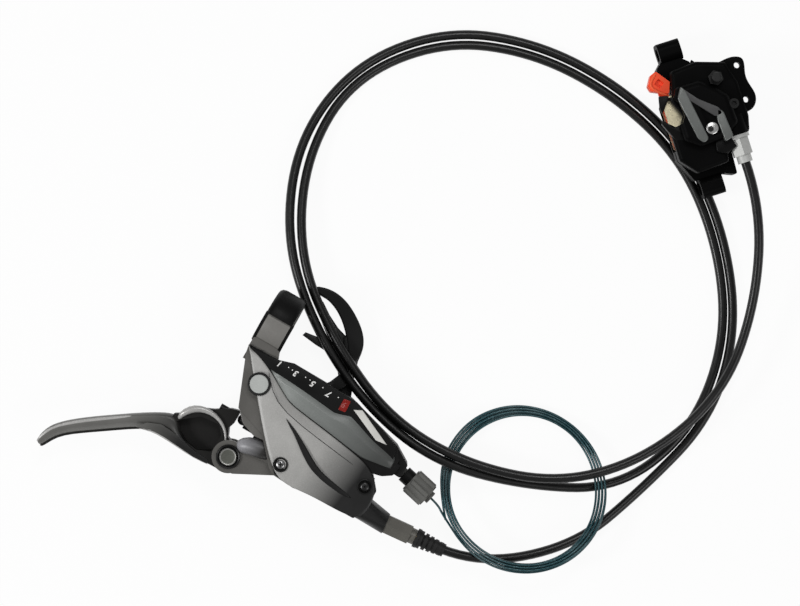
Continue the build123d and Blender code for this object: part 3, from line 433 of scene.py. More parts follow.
def turned(profile, centre, steps=40):
    """A solid of revolution from (radius, height) points about an upright through centre, as a bmesh."""
    shape = bmesh.new()
    corners = [shape.verts.new(mm(radius, 0, height)) for radius, height in profile]
    lines = [shape.edges.new(pair) for pair in zip(corners, corners[1:])]
    bmesh.ops.spin(shape, geom=corners + lines, cent=(0, 0, 0), axis=(0, 0, 1), dvec=(0, 0, 0),
                   angle=2 * math.pi, steps=steps, use_merge=True, use_duplicate=False)
    bmesh.ops.remove_doubles(shape, verts=shape.verts, dist=MERGE)
    bmesh.ops.translate(shape, verts=shape.verts, vec=mm(*centre))
    return shape


def strap(profile, start, sweep, centre=(0, 0, 0), steps=36):
    """A band round the clamp's X axis from (x, radius) points; start and sweep in degrees from the top."""
    shape = bmesh.new()
    lean = Matrix.Rotation(math.radians(start), 3, "X")
    corners, loop = closed_loop(shape, [lean @ mm(x, 0, radius) for x, radius in profile])
    end = shape.faces.new(corners)
    bmesh.ops.spin(shape, geom=[end] + corners + loop, cent=(0, 0, 0), axis=(1, 0, 0), dvec=(0, 0, 0),
                   angle=math.radians(sweep), steps=steps, use_merge=False, use_duplicate=False)
    bmesh.ops.translate(shape, verts=shape.verts, vec=mm(*centre))
    return shape


def ridge(points, radius, sides, flat=1.0):
    """A rounded rib along a smooth line, tapering at both ends, as a bmesh; points are (x, y, z, share)."""
    shape = bmesh.new()
    rings = []
    for place, (x, y, z, share) in enumerate(points):
        after = Vector(points[min(place + 1, len(points) - 1)][:3])
        before = Vector(points[max(place - 1, 0)][:3])
        turn = (after - before).to_track_quat("Z", "Y").to_matrix().to_4x4()
        spot = Matrix.Translation(mm(x, y, z)) @ turn @ Matrix.Diagonal((1, flat, 1, 1))
        bmesh.ops.create_circle(shape, segments=sides, radius=radius * share * MM, matrix=spot)
        shape.edges.ensure_lookup_table()
        rings.append(shape.edges[-sides:])
    bridge(shape, rings)
    bmesh.ops.holes_fill(shape, edges=shape.edges, sides=sides)
    return shape


COVER_LOW = 10.2
COVER_POINTS = {
    # along the seam with the shift unit, from the clamp
    "seam": [(-6.6, 21.2, 12.6), (-23.4, 31.9, 12.5), (-29.4, 33.4, 12.5), (-50.6, 36, 12.3),
             (-73.5, 39.3, 12)],
    # round the outside, from the tip beside the clamp
    "rim": [(7.8, 17, 12.4), (-10, 38.3, 13.2), (-23.7, 54.7, 13.4), (-38.2, 69.9, 12.7),
            (-49.6, 70.2, 12.4), (-61.3, 68.4, 12.2), (-86, 69, 11.8), (-89.4, 61.6, 11.6),
            (-88.6, 49.5, 11.6), (-80.5, 41.9, 11.9)],
    # crease beside the seam
    "crease": [(-15.5, 32.1, 15), (-25, 37.9, 15.1), (-48.7, 41.2, 14.6), (-73, 44.2, 12.6)],
    # upper and lower edge of the crescent step
    "step": [(-29, 40.7, 15), (-39.4, 48.7, 15.4), (-51.4, 57.8, 15), (-63.4, 59.8, 14.2),
             (-78.1, 60.4, 12.4)],
    "scoop": [(-41.1, 46.6, 13), (-53.4, 54.6, 12.6), (-64.2, 56.6, 12.5)],
}
COVER_FACES = (
    "rim0 rim1 crease0 seam0", "rim1 step0 crease1 crease0", "rim1 rim2 step1 step0", "rim2 rim3 step2 step1",
    "rim3 rim4 step3 step2", "rim4 rim5 step4 step3", "rim5 rim6 rim7 step4",
    "seam0 crease0 seam1", "crease0 crease1 seam2 seam1", "crease1 crease2 seam3 seam2",
    "crease2 crease3 seam4 seam3", "crease3 rim9 seam4",
    "step0 step1 scoop0", "step1 step2 scoop1 scoop0", "step2 step3 scoop2 scoop1", "step3 step4 scoop2",
    "step0 scoop0 crease2 crease1", "scoop0 scoop1 crease2", "scoop1 scoop2 crease3 crease2",
    "scoop2 step4 rim8 crease3", "step4 rim7 rim8", "crease3 rim8 rim9")
COVER_CREASES = (("rim", 0.75), ("seam", 0.9), ("crease", 0.55), ("step", 0.9), ("scoop", 0.45))
# the turn of the X axis along which painted shade darkens the unit's paint
COVER_TURN = math.radians(-173)
# the dark sliver of painted shade along the crescent step: (x, y, z, share)
CRESCENT_LINE = (
    (-28.2, 40.2, 15, 0.1), (-34.6, 43.4, 14.5, 0.9), (-40.6, 47.5, 14.2, 1.9), (-46.4, 51.8, 13.9, 2.6),
    (-53, 56, 13.7, 2.8), (-60.4, 58.4, 13.4, 2.6), (-69, 59.2, 12.9, 2), (-79, 59.4, 12.2, 0.4))
# start of the painted shade line along the crease, and how far it sinks below the crease
CREASE_START, CREASE_SINK = (-7.6, 22.6, 13.0, 0.6), 0.05
PLUG = (-7.5, 31.8, 14.7)
PLUG_RING = ((0, -0.5), (6.05, -0.5), (6.15, -0.2), (5.6, 0.15), (5.1, 0.05), (0, 0))
PLUG_DISC = ((0, 0), (4.85, 0), (4.85, 0.55), (4.6, 0.8), (4.1, 0.86), (0, 0.82))
# the cover screws: place, shift in height, and tone of painted light, the first screw lit and the second in
# painted shade
SCREWS = ((-38, 62.6, 0.2, 0.3), (-81.7, 50.7, -1.1, 0.05))
WELL = ((0, 13.2), (2.7, 13.2), (2.9, 13.7), (3.55, 14.35), (3.85, 14.3), (4, 13.6), (4, 12))
SCREW_R, SCREW_DOME, SCREW_Z, SLOT_Z = 2.55, 0.42, 13.3, 14.22
SLOT_SIZE, SLOT_TURNS = (3.0 * MM, 0.62 * MM, 0.5 * MM), (25, 115)


class DISCBRAKE_OT_cover(bpy.types.Operator):
    """Shape the reservoir's faceted cover, with its bleed plug and two screws"""
    bl_idname = "discbrake.cover"
    bl_label = "Reservoir cover"

    def execute(self, context):
        paint = settings("paint")
        # the cover's paint darkens to painted shade towards its far end
        finish = painted("cover_face", paint.cover, 0.4, flake=0.35, sheen=0.5,
                         painted_shade=(57, 82, COVER_TURN, paint.shadow))
        shape = bmesh.new()
        hard = shape.edges.layers.float.new("crease_edge")
        pinned = shape.verts.layers.float.new("crease_vert")
        spots = {line + str(n): shape.verts.new(mm(*point))
                 for line, row in COVER_POINTS.items() for n, point in enumerate(row)}
        spots["rim0"][pinned] = 1.0
        for names in COVER_FACES:
            shape.faces.new([spots[name] for name in names.split()])
        for line, sharpness in COVER_CREASES:
            for number in range(1, len(COVER_POINTS[line])):
                edge = shape.edges.get([spots[line + str(n)] for n in (number - 1, number)])
                if edge:
                    edge[hard] = sharpness
        border = [edge for edge in shape.edges if edge.is_boundary]
        for edge in border:
            edge[hard] = max(edge[hard], 0.75)
        made = bmesh.ops.extrude_edge_only(shape, edges=border)["geom"]
        for vert in (item for item in made if isinstance(item, bmesh.types.BMVert)):
            vert.co.z = COVER_LOW * MM
        low = [edge for edge in shape.edges if edge.is_boundary]
        for edge in low:
            edge[hard] = 1.0
        bmesh.ops.contextual_create(shape, geom=low)
        keep("top_cover", shape, finish, "cover_paint", stands_for=["reservoir_cover"], divide=3)

        # painted shade: a dark sliver on the wall of the crescent step, and a dark line along the crease
        dark = moulded("step_painted_shade", grey(0.004), 0.4)
        keep("crescent_painted_shade", ridge(CRESCENT_LINE, 1.0, 12, flat=0.35), dark, "seal_rubber", divide=1)
        line = [(x, y, z - CREASE_SINK, 1.0) for x, y, z in COVER_POINTS["crease"]]
        keep("cover_crease", ridge([CREASE_START] + line, 0.2, 6), dark, "seal_rubber", divide=1)

        ring = moulded("plug_ring", grey(0.004), 0.5)
        keep("bleed_plug_seal", turned(PLUG_RING, PLUG), ring, "seal_rubber", stands_for=["bleed_screw_seal"])
        face = painted("plug_face", (0.385, 0.4, 0.385), 0.42, flake=0.3)
        keep("bleed_plug", turned(PLUG_DISC, PLUG), face, "cover_paint", stands_for=["bleed_screw"])

        for number, (x, y, sink, painted_light_tone) in enumerate(SCREWS, 1):
            # painted shade: the well round each screw head is nearly black
            well = moulded("well_painted_shade", grey(0.004), 0.35)
            keep("screw_well_%d" % number, turned(WELL, (x, y, sink)), well, "seal_rubber")
            # painted light: each head's tone, lit on the first screw and in painted shade on the second
            head = bmesh.new()
            dome = Matrix.Translation(mm(x, y, SCREW_Z + sink)) @ Matrix.Diagonal((1, 1, SCREW_DOME, 1))
            bmesh.ops.create_uvsphere(head, u_segments=32, v_segments=16, radius=SCREW_R * MM, matrix=dome)
            keep("screw_head_%d" % number, head, bare_metal("screw_painted_light", grey(painted_light_tone), 0.3),
                 "black_steel", stands_for=["cover_screws"])
            # painted shade: the head's cross slots are dark boxes
            for turn in SLOT_TURNS:
                slot = bmesh.new()
                place = (Matrix.Translation(mm(x, y, SLOT_Z + sink))
                         @ Matrix.Rotation(math.radians(turn), 4, "Z") @ Matrix.Diagonal((*SLOT_SIZE, 1)))
                bmesh.ops.create_cube(slot, size=1.0, matrix=place)
                black = moulded("slot_painted_shade", grey(0.002), 0.6)
                keep("screw_slot_%d_%d" % (number, turn), slot, black, "seal_rubber")
        return {"FINISHED"}


INDICATOR_PLAN = (
    (7.4, 16.6), (-9.6, 16.2), (-17.9, 13.6), (-50.6, 14.4), (-77.8, 21.3), (-86.5, 25.2), (-90.6, 30),
    (-90, 37.2), (-80.8, 38.4), (-72.6, 39.6), (-50.6, 36.4), (-29.4, 33.9), (-23.7, 32.2), (-7.3, 22.2))
STRIP_PLAN = (
    (7, 17.4), (-9.6, 16.2), (-17.9, 13.6), (-47, 14.6), (-50.6, 14.4), (-56.4, 14.8), (-77.8, 21.3),
    (-86.5, 26.2), (-87.4, 31.3), (-74.5, 28.6), (-57.5, 22.8), (-53, 24.4), (-48.8, 25.6), (-40.8, 24.8),
    (-27.8, 23.6), (-7.3, 22.2))
HOOD_LOOPS = (
    ((-7, 21.8), (-27.8, 22.9), (-40.8, 24), (-48.8, 25.1), (-53, 23.6), (-57.5, 22), (-74.5, 27.8),
     (-88.4, 29.6), (-89, 36.2), (-80.8, 37.2), (-72.6, 38.7), (-50.6, 35.5), (-29.2, 33), (-23.5, 31.5)),
    ((-9, 22.8), (-27.6, 24.2), (-40.6, 25.4), (-48.6, 26.4), (-53.2, 25.2), (-57.3, 24), (-73.5, 29.6),
     (-86, 31.2), (-86.6, 34.6), (-80.2, 35.4), (-72.2, 36.6), (-50.8, 33.8), (-30, 31.4), (-24.2, 30)),
    ((-14, 24.6), (-27.4, 26), (-40, 27.4), (-48.2, 28.4), (-53.4, 28), (-57.4, 27.6), (-70, 31.2),
     (-80.5, 32.6), (-80.8, 33.2), (-77, 33.6), (-71, 33.8), (-51, 31.4), (-31, 29.4), (-24.8, 27.6)))
# height of each loop from the foot up, and how sharp its edges stay
HOOD_LEVELS = ((11.0, 0.9), (11.6, 0.85), (12.6, 0.25), (13.4, 0.8))
LABEL_PLAN = ((-56.6, 19), (-60.8, 16.9), (-81, 26.2), (-74.6, 27))
WINDOW_PLAN = ((-49.5, 16.4), (-53.3, 15.9), (-53.6, 22.4), (-49.6, 22.9))
INDICATOR_LOW, INDICATOR_TOP, STRIP_LOW, STRIP_TOP = 8.1, 11.3, 8.2, 12.15
LABEL_LOW, LABEL_TOP = 11.0, 12.5
# against the strip's top: its own face, the numbers, the dots, and the window's underside and top
FACE_SINK, NUMBER_SINK, DOT_SINK, WINDOW_GAP, WINDOW_RISE = 0.1, 0.03, 0.05, 0.06, 0.3
NUMBERS = (
    ("1", -11.7, 17.4), ("3", -21.5, 17.6), ("5", -31.8, 17.8), ("7", -41.7, 18.3), ("9", -51.4, 19.2))
NUMBER_SIZE = 4.3
DOT = ((0, -0.05), (0.32, -0.05), (0.32, 0.04), (0, 0.04))
DOTS = ((-16.4, 16.8), (-18.8, 17.0), (-26.6, 16.8), (-29.3, 16.9), (-37.1, 17.0), (-46.6, 17.4))


def lettered(name, text, place, finish):
    """A flat, slanted number lying on a surface."""
    words = bpy.data.curves.new(name, "FONT")
    words.body, words.size, words.shear = text, NUMBER_SIZE * MM, 0.25
    words.align_x, words.align_y = "CENTER", "CENTER"
    words.extrude, words.offset = 0.06 * MM, 0.12 * MM
    holder = placed(name + "_words", words)
    bpy.context.view_layer.update()
    shape = bmesh.new()
    solid = holder.evaluated_get(bpy.context.evaluated_depsgraph_get())
    shape.from_mesh(bpy.data.meshes.new_from_object(solid))
    bpy.data.objects.remove(holder)
    bmesh.ops.translate(shape, verts=shape.verts, vec=mm(*place))
    keep(name, shape, finish, "white_plastic")


class DISCBRAKE_OT_indicator(bpy.types.Operator):
    """Shape the gear indicator: black scale with its numbers, hood, blank plate and red window"""
    bl_idname = "discbrake.indicator"
    bl_label = "Gear indicator"

    def execute(self, context):
        paint = settings("paint")
        gloss = moulded("scale_gloss", grey(0.005), 0.42, depth=0.01, sheen=0.15)
        base = block(INDICATOR_PLAN, INDICATOR_LOW, INDICATOR_TOP, 0.3)
        keep("indicator_base", base, gloss, "housing_black")
        strip = block(STRIP_PLAN, STRIP_LOW, STRIP_TOP - FACE_SINK, 0.5)
        keep("scale_strip", strip, gloss, "scale_black", stands_for=["gear_scale", "indicator_cover"])

        # the hood's moulding darkens to painted shade towards its far end
        hood_finish = painted("hood_face", paint.hood, 0.36, flake=0.3, sheen=0.5,
                              painted_shade=(26, 84, COVER_TURN, shade(paint.hood, 0.24)))
        shape = bmesh.new()
        hard = shape.edges.layers.float.new("crease_edge")
        pinned = shape.verts.layers.float.new("crease_vert")
        rings = [list(outline_face(shape, HOOD_LOOPS[0], STRIP_LOW).edges)]
        for plan, (height, crease) in zip((HOOD_LOOPS[0], *HOOD_LOOPS), HOOD_LEVELS):
            corners, ring = closed_loop(shape, [mm(x, y, height) for x, y in plan])
            for line, corner in zip(ring, corners):
                line[hard], corner[pinned] = crease, crease
            rings.append(ring)
        bridge(shape, rings)
        bmesh.ops.contextual_create(shape, geom=rings[-1])
        keep("indicator_hood", shape, hood_finish, "cover_gloss", divide=2)

        white = painted("number_white", (0.72, 0.72, 0.7), 0.5)
        for text, x, y in NUMBERS:
            lettered("number_" + text, text, (x, y, STRIP_TOP - NUMBER_SINK), white)
        for number, (x, y) in enumerate(DOTS):
            dot = turned(DOT, (x, y, STRIP_TOP - DOT_SINK), steps=12)
            keep("scale_dot_%d" % number, dot, white, "white_plastic")

        plate = block(LABEL_PLAN, LABEL_LOW, LABEL_TOP, 0.35)
        light = painted("plate_light", (0.6, 0.595, 0.565), 0.45, flake=0.1)
        keep("blank_plate", plate, light, "white_plastic")
        window = block(WINDOW_PLAN, STRIP_TOP + WINDOW_GAP, STRIP_TOP + WINDOW_RISE, 0.1, corner=0.7)
        red = tinted("window_red", (0.38, 0.02, 0.014), 0.46)
        keep("needle_window", window, red, "needle_red", "needle", stands_for=["gear_needle"])
        return {"FINISHED"}


CLAMP_BAND = (
    (-7.4, 13), (-7.4, 14.6), (-6.6, 15.6), (-5.2, 16), (4.6, 16), (6.6, 15.4), (7.7, 14.2), (7.9, 13))
CLAMP_LIP = ((0, 13.6), (0, 15.3), (0.4, 15.7), (1.4, 15.7), (1.8, 15.3), (1.8, 13.6))
CLAMP_FACE = ((-6.9, 14.8), (-6.9, 15.45), (-6.4, 15.55), (5.7, 15.55), (6.2, 15.45), (6.2, 14.8))
FOOT_PLAN = ((-70, 38.4), (-74.5, 41), (-79.2, 43.5), (-86.5, 41.8), (-91.5, 38.5), (-92.5, 32), (-86, 32))
END_BLOCK_PLAN = ((-5.2, 49), (-16, 44.5), (-26, 52), (-24.3, 56.4), (-18.4, 57), (-10, 54.1))
# where each lip starts along the clamp
CLAMP_LIPS = (("clamp_lip_outer", 6.3), ("clamp_lip_inner", -8.4))
CYLINDER_LINE = (
    (-13.6, 66.6, 1.2, 0.5), (-15.4, 64.6, 2.2, 0.88), (-21, 61.8, 3.2, 1), (-32, 60.5, 4.6, 1.05))


class DISCBRAKE_OT_clamp(bpy.types.Operator):
    """Add the clamp's band and lips in painted shade, its face in painted highlight, the cylinder's shoulder
    in painted highlight and the blocks beside it
    """
    bl_idname = "discbrake.clamp"
    bl_label = "Clamp and shoulder"

    def execute(self, context):
        # painted shade: a black band over the shaded curve of the clamp ring, and black lips at its opening
        dark = moulded("band_painted_shade", grey(0.005), 0.42, sheen=0.1)
        keep("clamp_shade_band", strap(CLAMP_BAND, 4, 176, centre=(0, -1.3, 0)), dark, "body_paint")
        for name, x in CLAMP_LIPS:
            profile = [(x + along, radius) for along, radius in CLAMP_LIP]
            keep(name, strap(profile, 12, -74), dark, "body_paint")
        # painted highlight: the ring's front face is a lighter copy of the casting's paint
        face = painted("clamp_face_painted_highlight", (0.17, 0.165, 0.155), 0.4, flake=0.3)
        keep("clamp_face", strap(CLAMP_FACE, 6, -52), face, "body_paint")
        # painted highlight: the cylinder's shoulder is a light copy of the casting's paint, darkening to
        # painted shade along its length
        satin = painted("shoulder_painted_highlight", (0.5, 0.5, 0.53), 0.4, metal=0.1, flake=0.3,
                        painted_shade=(12, 34, COVER_TURN, (0.03, 0.029, 0.028)))
        keep("cylinder_shoulder", ridge(CYLINDER_LINE, 5.0, 20), satin, "body_paint", divide=1)
        plain = painted("block_paint", settings("paint").body, 0.42)
        foot = moulded("foot_black", (0.006, 0.006, 0.0062), 0.45, sheen=0.12)
        keep("housing_foot", block(FOOT_PLAN, 8.2, 11.2, 0.6, corner=0.8), foot, "housing_black")
        keep("end_block", block(END_BLOCK_PLAN, 2.0, 9.4, 0.8, corner=1.0), plain, "body_paint")
        return {"FINISHED"}


PADDLE_PLAN = (
    (-5, -23.5), (-8.4, -27.4), (-14.7, -28.1), (-22.4, -26.4), (-31.1, -22.9), (-37.7, -18.8),
    (-43.7, -12.6), (-45.5, -7.7), (-46, -3.1), (-44.4, 2), (-38, -1.5), (-33, -10), (-33.5, -13.5),
    (-28.6, -19.2), (-20.4, -23.2), (-14, -23.4))
PADDLE_WEB_PLAN = (
    (-14, -21.4), (-20.8, -16.8), (-28, -13.2), (-33.8, -11.5), (-37.5, 0.5), (-30.5, -2.5), (-22, -9),
    (-12, -17))
TAB_PLAN = (
    (-13.5, -0.6), (-14.2, -2.8), (-23.7, -4.2), (-33, -4.6), (-42, 0.5), (-48.5, 7.5), (-45.5, 14),
    (-41.5, 19.8), (-33.5, 19.8), (-38.5, 13.5), (-40.6, 8.4), (-37.6, 4.8), (-30, 0.6), (-22.2, 0.4))


class DISCBRAKE_OT_paddles(bpy.types.Operator):
    """Shape the broad thumb paddle and the release lever's tab"""
    bl_idname = "discbrake.paddles"
    bl_label = "Thumb paddles"

    def execute(self, context):
        finish = moulded("paddle_black", grey(0.009), 0.42, sheen=0.3)
        pad = block(PADDLE_PLAN, -24.9, -17.6, 1.2, 4)
        keep("paddle_pad", pad, finish, "lever_black", "shift_main")
        web = block(PADDLE_WEB_PLAN, -24.0, -19.2, 1.0, 4)
        keep("paddle_web", web, finish, "lever_black", "shift_main")
        tab = block(TAB_PLAN, -17.05, -15.75, 0.4)
        keep("release_tab", tab, finish, "lever_black", "shift_release", stands_for=["release_lever"])
        return {"FINISHED"}


LEVER_Z, LEVER_CUT = -8.0, 24.0
# share of the way from the blade's rear edge to its front edge, and share of its half thickness
BLADE_SHAPE = (
    (0, -0.35), (0, 0.5), (0.1, 0.92), (0.26, 1), (0.55, 0.9), (0.82, 0.5), (1, 0.1), (1, -0.5),
    (0.8, -0.86), (0.3, -0.95))
BLADE_SECTIONS = (
    ((79.9, 117.5), (77.2, 119), 2.2), ((80.1, 113.6), (75.1, 115.2), 3.6),
    ((77.9, 106.8), (72.2, 109.8), 4.4), ((72.5, 100.8), (66.4, 104.5), 4.8), ((62.9, 93), (57, 98), 5.2),
    ((50.3, 84.3), (45.6, 90.1), 5.6), ((41.1, 77.9), (37.6, 84.6), 6.2), ((30.7, 71.4), (29.8, 81.6), 6.7),
    ((22, 67.4), (22.4, 81.5), 6.9), ((19.2, 72.6), (18.4, 81.7), 6.8), ((13.8, 77), (13.6, 82.2), 6.7),
    ((4.4, 79.8), (4.2, 82.9), 6.6), ((-3.4, 80.4), (-3.6, 82.4), 6.4))
WEB_PLAN = (
    (38, 84.6), (34, 79.6), (27, 76.6), (18, 77.2), (8, 79.8), (-4, 80.6), (-4.4, 82.6), (4, 83.1),
    (13.6, 82.4), (22.4, 81.7), (29.8, 81.8))
# painted highlight ridges of the lever, as (x, y, z, share): the hub's rim, the blade's rear edge line and
# its lower lip
HUB_RIM = (
    (20.6, 70.6, -3.4, 0.5), (20.6, 67, -1.6, 1.5), (17.8, 62.2, -1.1, 1.9), (13.6, 59.2, -1, 1.7),
    (7.8, 57.9, -0.9, 1.3), (1.4, 59, -0.9, 0.9), (-4.2, 62.6, -1, 0.7), (-7.4, 68.6, -1.4, 0.4))
EDGE_LINE = (
    (79.6, 117.6, -6.4, 0.6), (78.9, 113.8, -5, 1), (76.4, 107.4, -4.4, 1), (71, 101.8, -4, 1.1),
    (61.6, 94.2, -3.6, 1.15), (49.2, 85.6, -3.2, 1.1), (40.4, 79.4, -2.9, 0.9), (31, 73.6, -2.7, 0.6),
    (25, 71.4, -2.4, 0.2))
LOWER_LIP = (
    (37, 84.9, -4, 0.2), (29.8, 82, -2.9, 0.9), (22.4, 81.8, -2.5, 1), (13.6, 82.4, -2.4, 0.9),
    (3.6, 83.2, -2.4, 0.8), (-5.4, 82.6, -3, 0.3))
# slot and body of the lever's pieces
ON_LEVER = ("lever_paint", "brake_lever")
# how many of the blade's sections, from the tip, have the painted shade along the front edge
FRONT_SECTIONS = 7
PIVOT = (-12.1, 73.5, 3.0)
PIVOT_WELL = ((0, -0.6), (4.9, -0.6), (5.3, 0.5), (6.1, 0.9), (6.4, 0.5), (6.4, -1.5))
PIVOT_RIM = ((3.5, 1), (4.3, 1), (4.45, 1.3), (4.2, 1.6), (3.7, 1.5), (3.5, 1.2))
PIVOT_HEAD = ((0, -0.6), (4.1, -0.6), (4.1, 1.1), (3.7, 1.5), (3.2, 1.35), (0, 1.25))


class DISCBRAKE_OT_lever(bpy.types.Operator):
    """Shape the brake lever: hub and long blade darkening to painted shade, rims and edge lines in painted
    highlight, and the pivot bolt's head
    """
    bl_idname = "discbrake.lever"
    bl_label = "Brake lever"

    def execute(self, context):
        # the blade's paint darkens to painted shade towards the hub
        satin = painted("lever_satin", (0.14, 0.138, 0.13), 0.38, metal=0.15, flake=0.25, sheen=0.4,
                        painted_shade=(-44, -14, math.pi, grey(0.008)))
        # painted shade: the hub and its cavity are a nearly black copy of the lever's paint
        deep_painted_shade = painted("hub_painted_shade", (0.009, 0.0085, 0.008), 0.46, flake=0.1, sheen=0.2)
        hub = bmesh.new()
        hub.from_mesh(frame["nodes"]["brake_lever_blade"].data)
        bmesh.ops.remove_doubles(hub, verts=hub.verts, dist=0.01 * MM)
        cut = bmesh.ops.bisect_plane(hub, geom=hub.verts[:] + hub.edges[:] + hub.faces[:],
                                     plane_co=mm(LEVER_CUT, 0, 0), plane_no=(1, 0, 0), clear_outer=True)
        rim = [item for item in cut["geom_cut"] if isinstance(item, bmesh.types.BMEdge)]
        bmesh.ops.contextual_create(hub, geom=rim)
        keep("lever_hub", hub, deep_painted_shade, *ON_LEVER, stands_for=["brake_lever_blade"], sharp=14)

        blade = bmesh.new()
        rings = []
        for upper, lower, half in BLADE_SECTIONS:
            section = ((Vector(upper).lerp(Vector(lower), share), rise) for share, rise in BLADE_SHAPE)
            places = [mm(*spot, LEVER_Z + rise * half) for spot, rise in section]
            rings.append(closed_loop(blade, places)[1])
        bridge(blade, rings)
        bmesh.ops.holes_fill(blade, edges=blade.edges, sides=len(BLADE_SHAPE))
        keep("lever_blade", blade, satin, *ON_LEVER, divide=2)

        # painted highlight: the hub's rim, the rear edge line and the lower lip are light copies of the
        # lever's paint, with rubbed speckle
        bright = painted("rim_painted_highlight", (0.42, 0.415, 0.405), 0.36, metal=0.3, flake=0.5, wear=0.9)
        keep("hub_rim", ridge(HUB_RIM, 1.15, 10), bright, *ON_LEVER, divide=1)
        keep("edge_line", ridge(EDGE_LINE, 0.9, 8), bright, *ON_LEVER, divide=1)
        web = block(WEB_PLAN, -4.0, -1.75, 0.9, corner=0.8)
        keep("lower_web", web, satin, *ON_LEVER)
        # painted shade: a dark ridge along the blade's front edge
        front = [(x, y, LEVER_Z - 0.1 * half, 1.0) for _, (x, y), half in BLADE_SECTIONS[:FRONT_SECTIONS]]
        front.append((*BLADE_SECTIONS[FRONT_SECTIONS][1], LEVER_Z, 0.2))
        keep("front_edge", ridge(front, 1.1, 8), deep_painted_shade, *ON_LEVER, divide=1)
        keep("lower_lip", ridge(LOWER_LIP, 0.7, 8), bright, *ON_LEVER, divide=1)

        # painted shade: the well round the pivot head is black
        well = moulded("pivot_well_painted_shade", grey(0.003), 0.4)
        keep("pivot_well", turned(PIVOT_WELL, PIVOT), well, "seal_rubber")
        ring = bare_metal("pivot_rim", (0.4, 0.4, 0.38), 0.35)
        keep("pivot_rim", turned(PIVOT_RIM, PIVOT), ring, "black_steel")
        dull = painted("pivot_grey", (0.085, 0.088, 0.076), 0.42, metal=0.2, flake=0.6)
        keep("pivot_head", turned(PIVOT_HEAD, PIVOT), dull, "black_steel")
        return {"FINISHED"}


class DISCBRAKE_OT_spring(bpy.types.Operator):
    """Add the master cylinder's return spring"""
    bl_idname = "discbrake.spring"
    bl_label = "Return spring"

    def execute(self, context):
        coil = bmesh.new()
        coil.from_mesh(frame["nodes"]["master_spring"].data)
        wire = bare_metal("spring_wire", grey(0.32), 0.32)
        piece = keep("return_spring", coil, wire, "steel", stands_for=["master_spring"])
        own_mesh(piece)
        return {"FINISHED"}


# the caliper's blocks: name, foot, top, softening and its steps, rounding of the corners, and plan
CALIPER_BLOCKS = (
    ("caliper_rib_1", (16.6, 20.2, 1.9, 6, 1.2),
     ((-119.4, -210.9), (-122.7, -210.3), (-145.8, -194.9), (-144.8, -191.7), (-140.8, -192),
      (-121.4, -204.6))),
    ("caliper_rib_2", (16.6, 20.0, 1.7, 6, 1.2),
     ((-121.3, -210.5), (-130.8, -209.9), (-142, -211.5), (-145.4, -209.8), (-143.2, -206.6),
      (-132.6, -206.9), (-125, -207))),
    ("caliper_rib_3", (16.0, 20.0, 1.7, 6, 1.2),
     ((-141.4, -210.6), (-145.1, -211), (-156.2, -202.4), (-154.1, -197.8), (-144.5, -205.6))),
    ("pad_guard", (6.9, 12.0, 0.6, 3, 0.6),
     ((-117.6, -204.2), (-119.5, -205.1), (-130.8, -201.1), (-138.4, -190.2), (-131.8, -186.3),
      (-121.3, -189.9), (-120.8, -192.1), (-127.9, -191.6), (-130, -194.9), (-128.6, -199),
      (-119.9, -202.4))),
    ("pad_guard_top", (6.9, 10.0, 0.6, 3, 0.6),
     ((-112.7, -201.9), (-116.9, -204.6), (-118.4, -203), (-118, -201.6), (-119.2, -194.8),
      (-116.5, -196.5))),
)
SHOULDER_PLAN = ((-149.5, -196.5), (-154.5, -202.5), (-160.8, -199.4), (-158.4, -193.6), (-153, -191.5))
# the screw in the recess, its socket a dark disc of painted shade a little off centre
CALIPER_SCREW, CALIPER_SOCKET = (-144.6, -200.5, 19.0), (-144.1, -199.7, 19.4)
SCREW_HEAD = ((0, 0), (3.1, 0), (3.1, 0.5), (2.6, 0.75), (0, 0.5))
SOCKET = ((0, 0), (1.6, 0), (1.6, 0.36), (0, 0.36))
SPACER_RIM = (
    (-105.6, -212.6, 5.4, 0.7), (-105.3, -209, 5.5, 1), (-105.8, -205.2, 5.5, 1), (-108, -203.8, 5.5, 1),
    (-113, -204.4, 5.5, 1), (-118.4, -205.4, 5.3, 0.6))


class DISCBRAKE_OT_caliper(bpy.types.Operator):
    """Add the caliper's ribs in painted highlight, screw with its socket in painted shade, shoulder at the
    hose, guards beside the pads and spacer's rim
    """
    bl_idname = "discbrake.caliper"
    bl_label = "Caliper"

    def execute(self, context):
        # painted highlight: the ribs are lighter copies of the caliper's black paint, with rubbed speckle on
        # the brighter ones
        bright = painted("rib_painted_highlight", (0.15, 0.158, 0.152), 0.32, metal=0.5, flake=0.3, wear=0.9)
        soft = painted("rib_dim_painted_highlight", (0.066, 0.066, 0.067), 0.34, metal=0.4, flake=0.3)
        dark = painted("guard_black", settings("paint").caliper, 0.42, flake=0.1, sheen=0.12)
        for (name, sizes, plan), finish in zip(CALIPER_BLOCKS, (bright, soft, bright, dark, dark)):
            keep(name, block(plan, *sizes), finish, "caliper_paint")
        rim = moulded("spacer_rim", (1.0, 0.13, 0.05), 0.4, sheen=0.2)
        keep("spacer_rim", ridge(SPACER_RIM, 0.8, 8), rim, "spacer_red", divide=1)
        keep("hose_shoulder", block(SHOULDER_PLAN, 6, 14, 0.8, corner=0.8), dark, "caliper_paint")
        bare = bare_metal("screw_bright", (0.55, 0.55, 0.54), 0.3)
        keep("caliper_screw", turned(SCREW_HEAD, CALIPER_SCREW), bare, "steel")
        # painted shade: the screw's socket is a black disc
        socket = moulded("socket_painted_shade", grey(0.003), 0.5)
        keep("caliper_socket", turned(SOCKET, CALIPER_SOCKET, steps=6), socket, "seal_rubber")
        return {"FINISHED"}


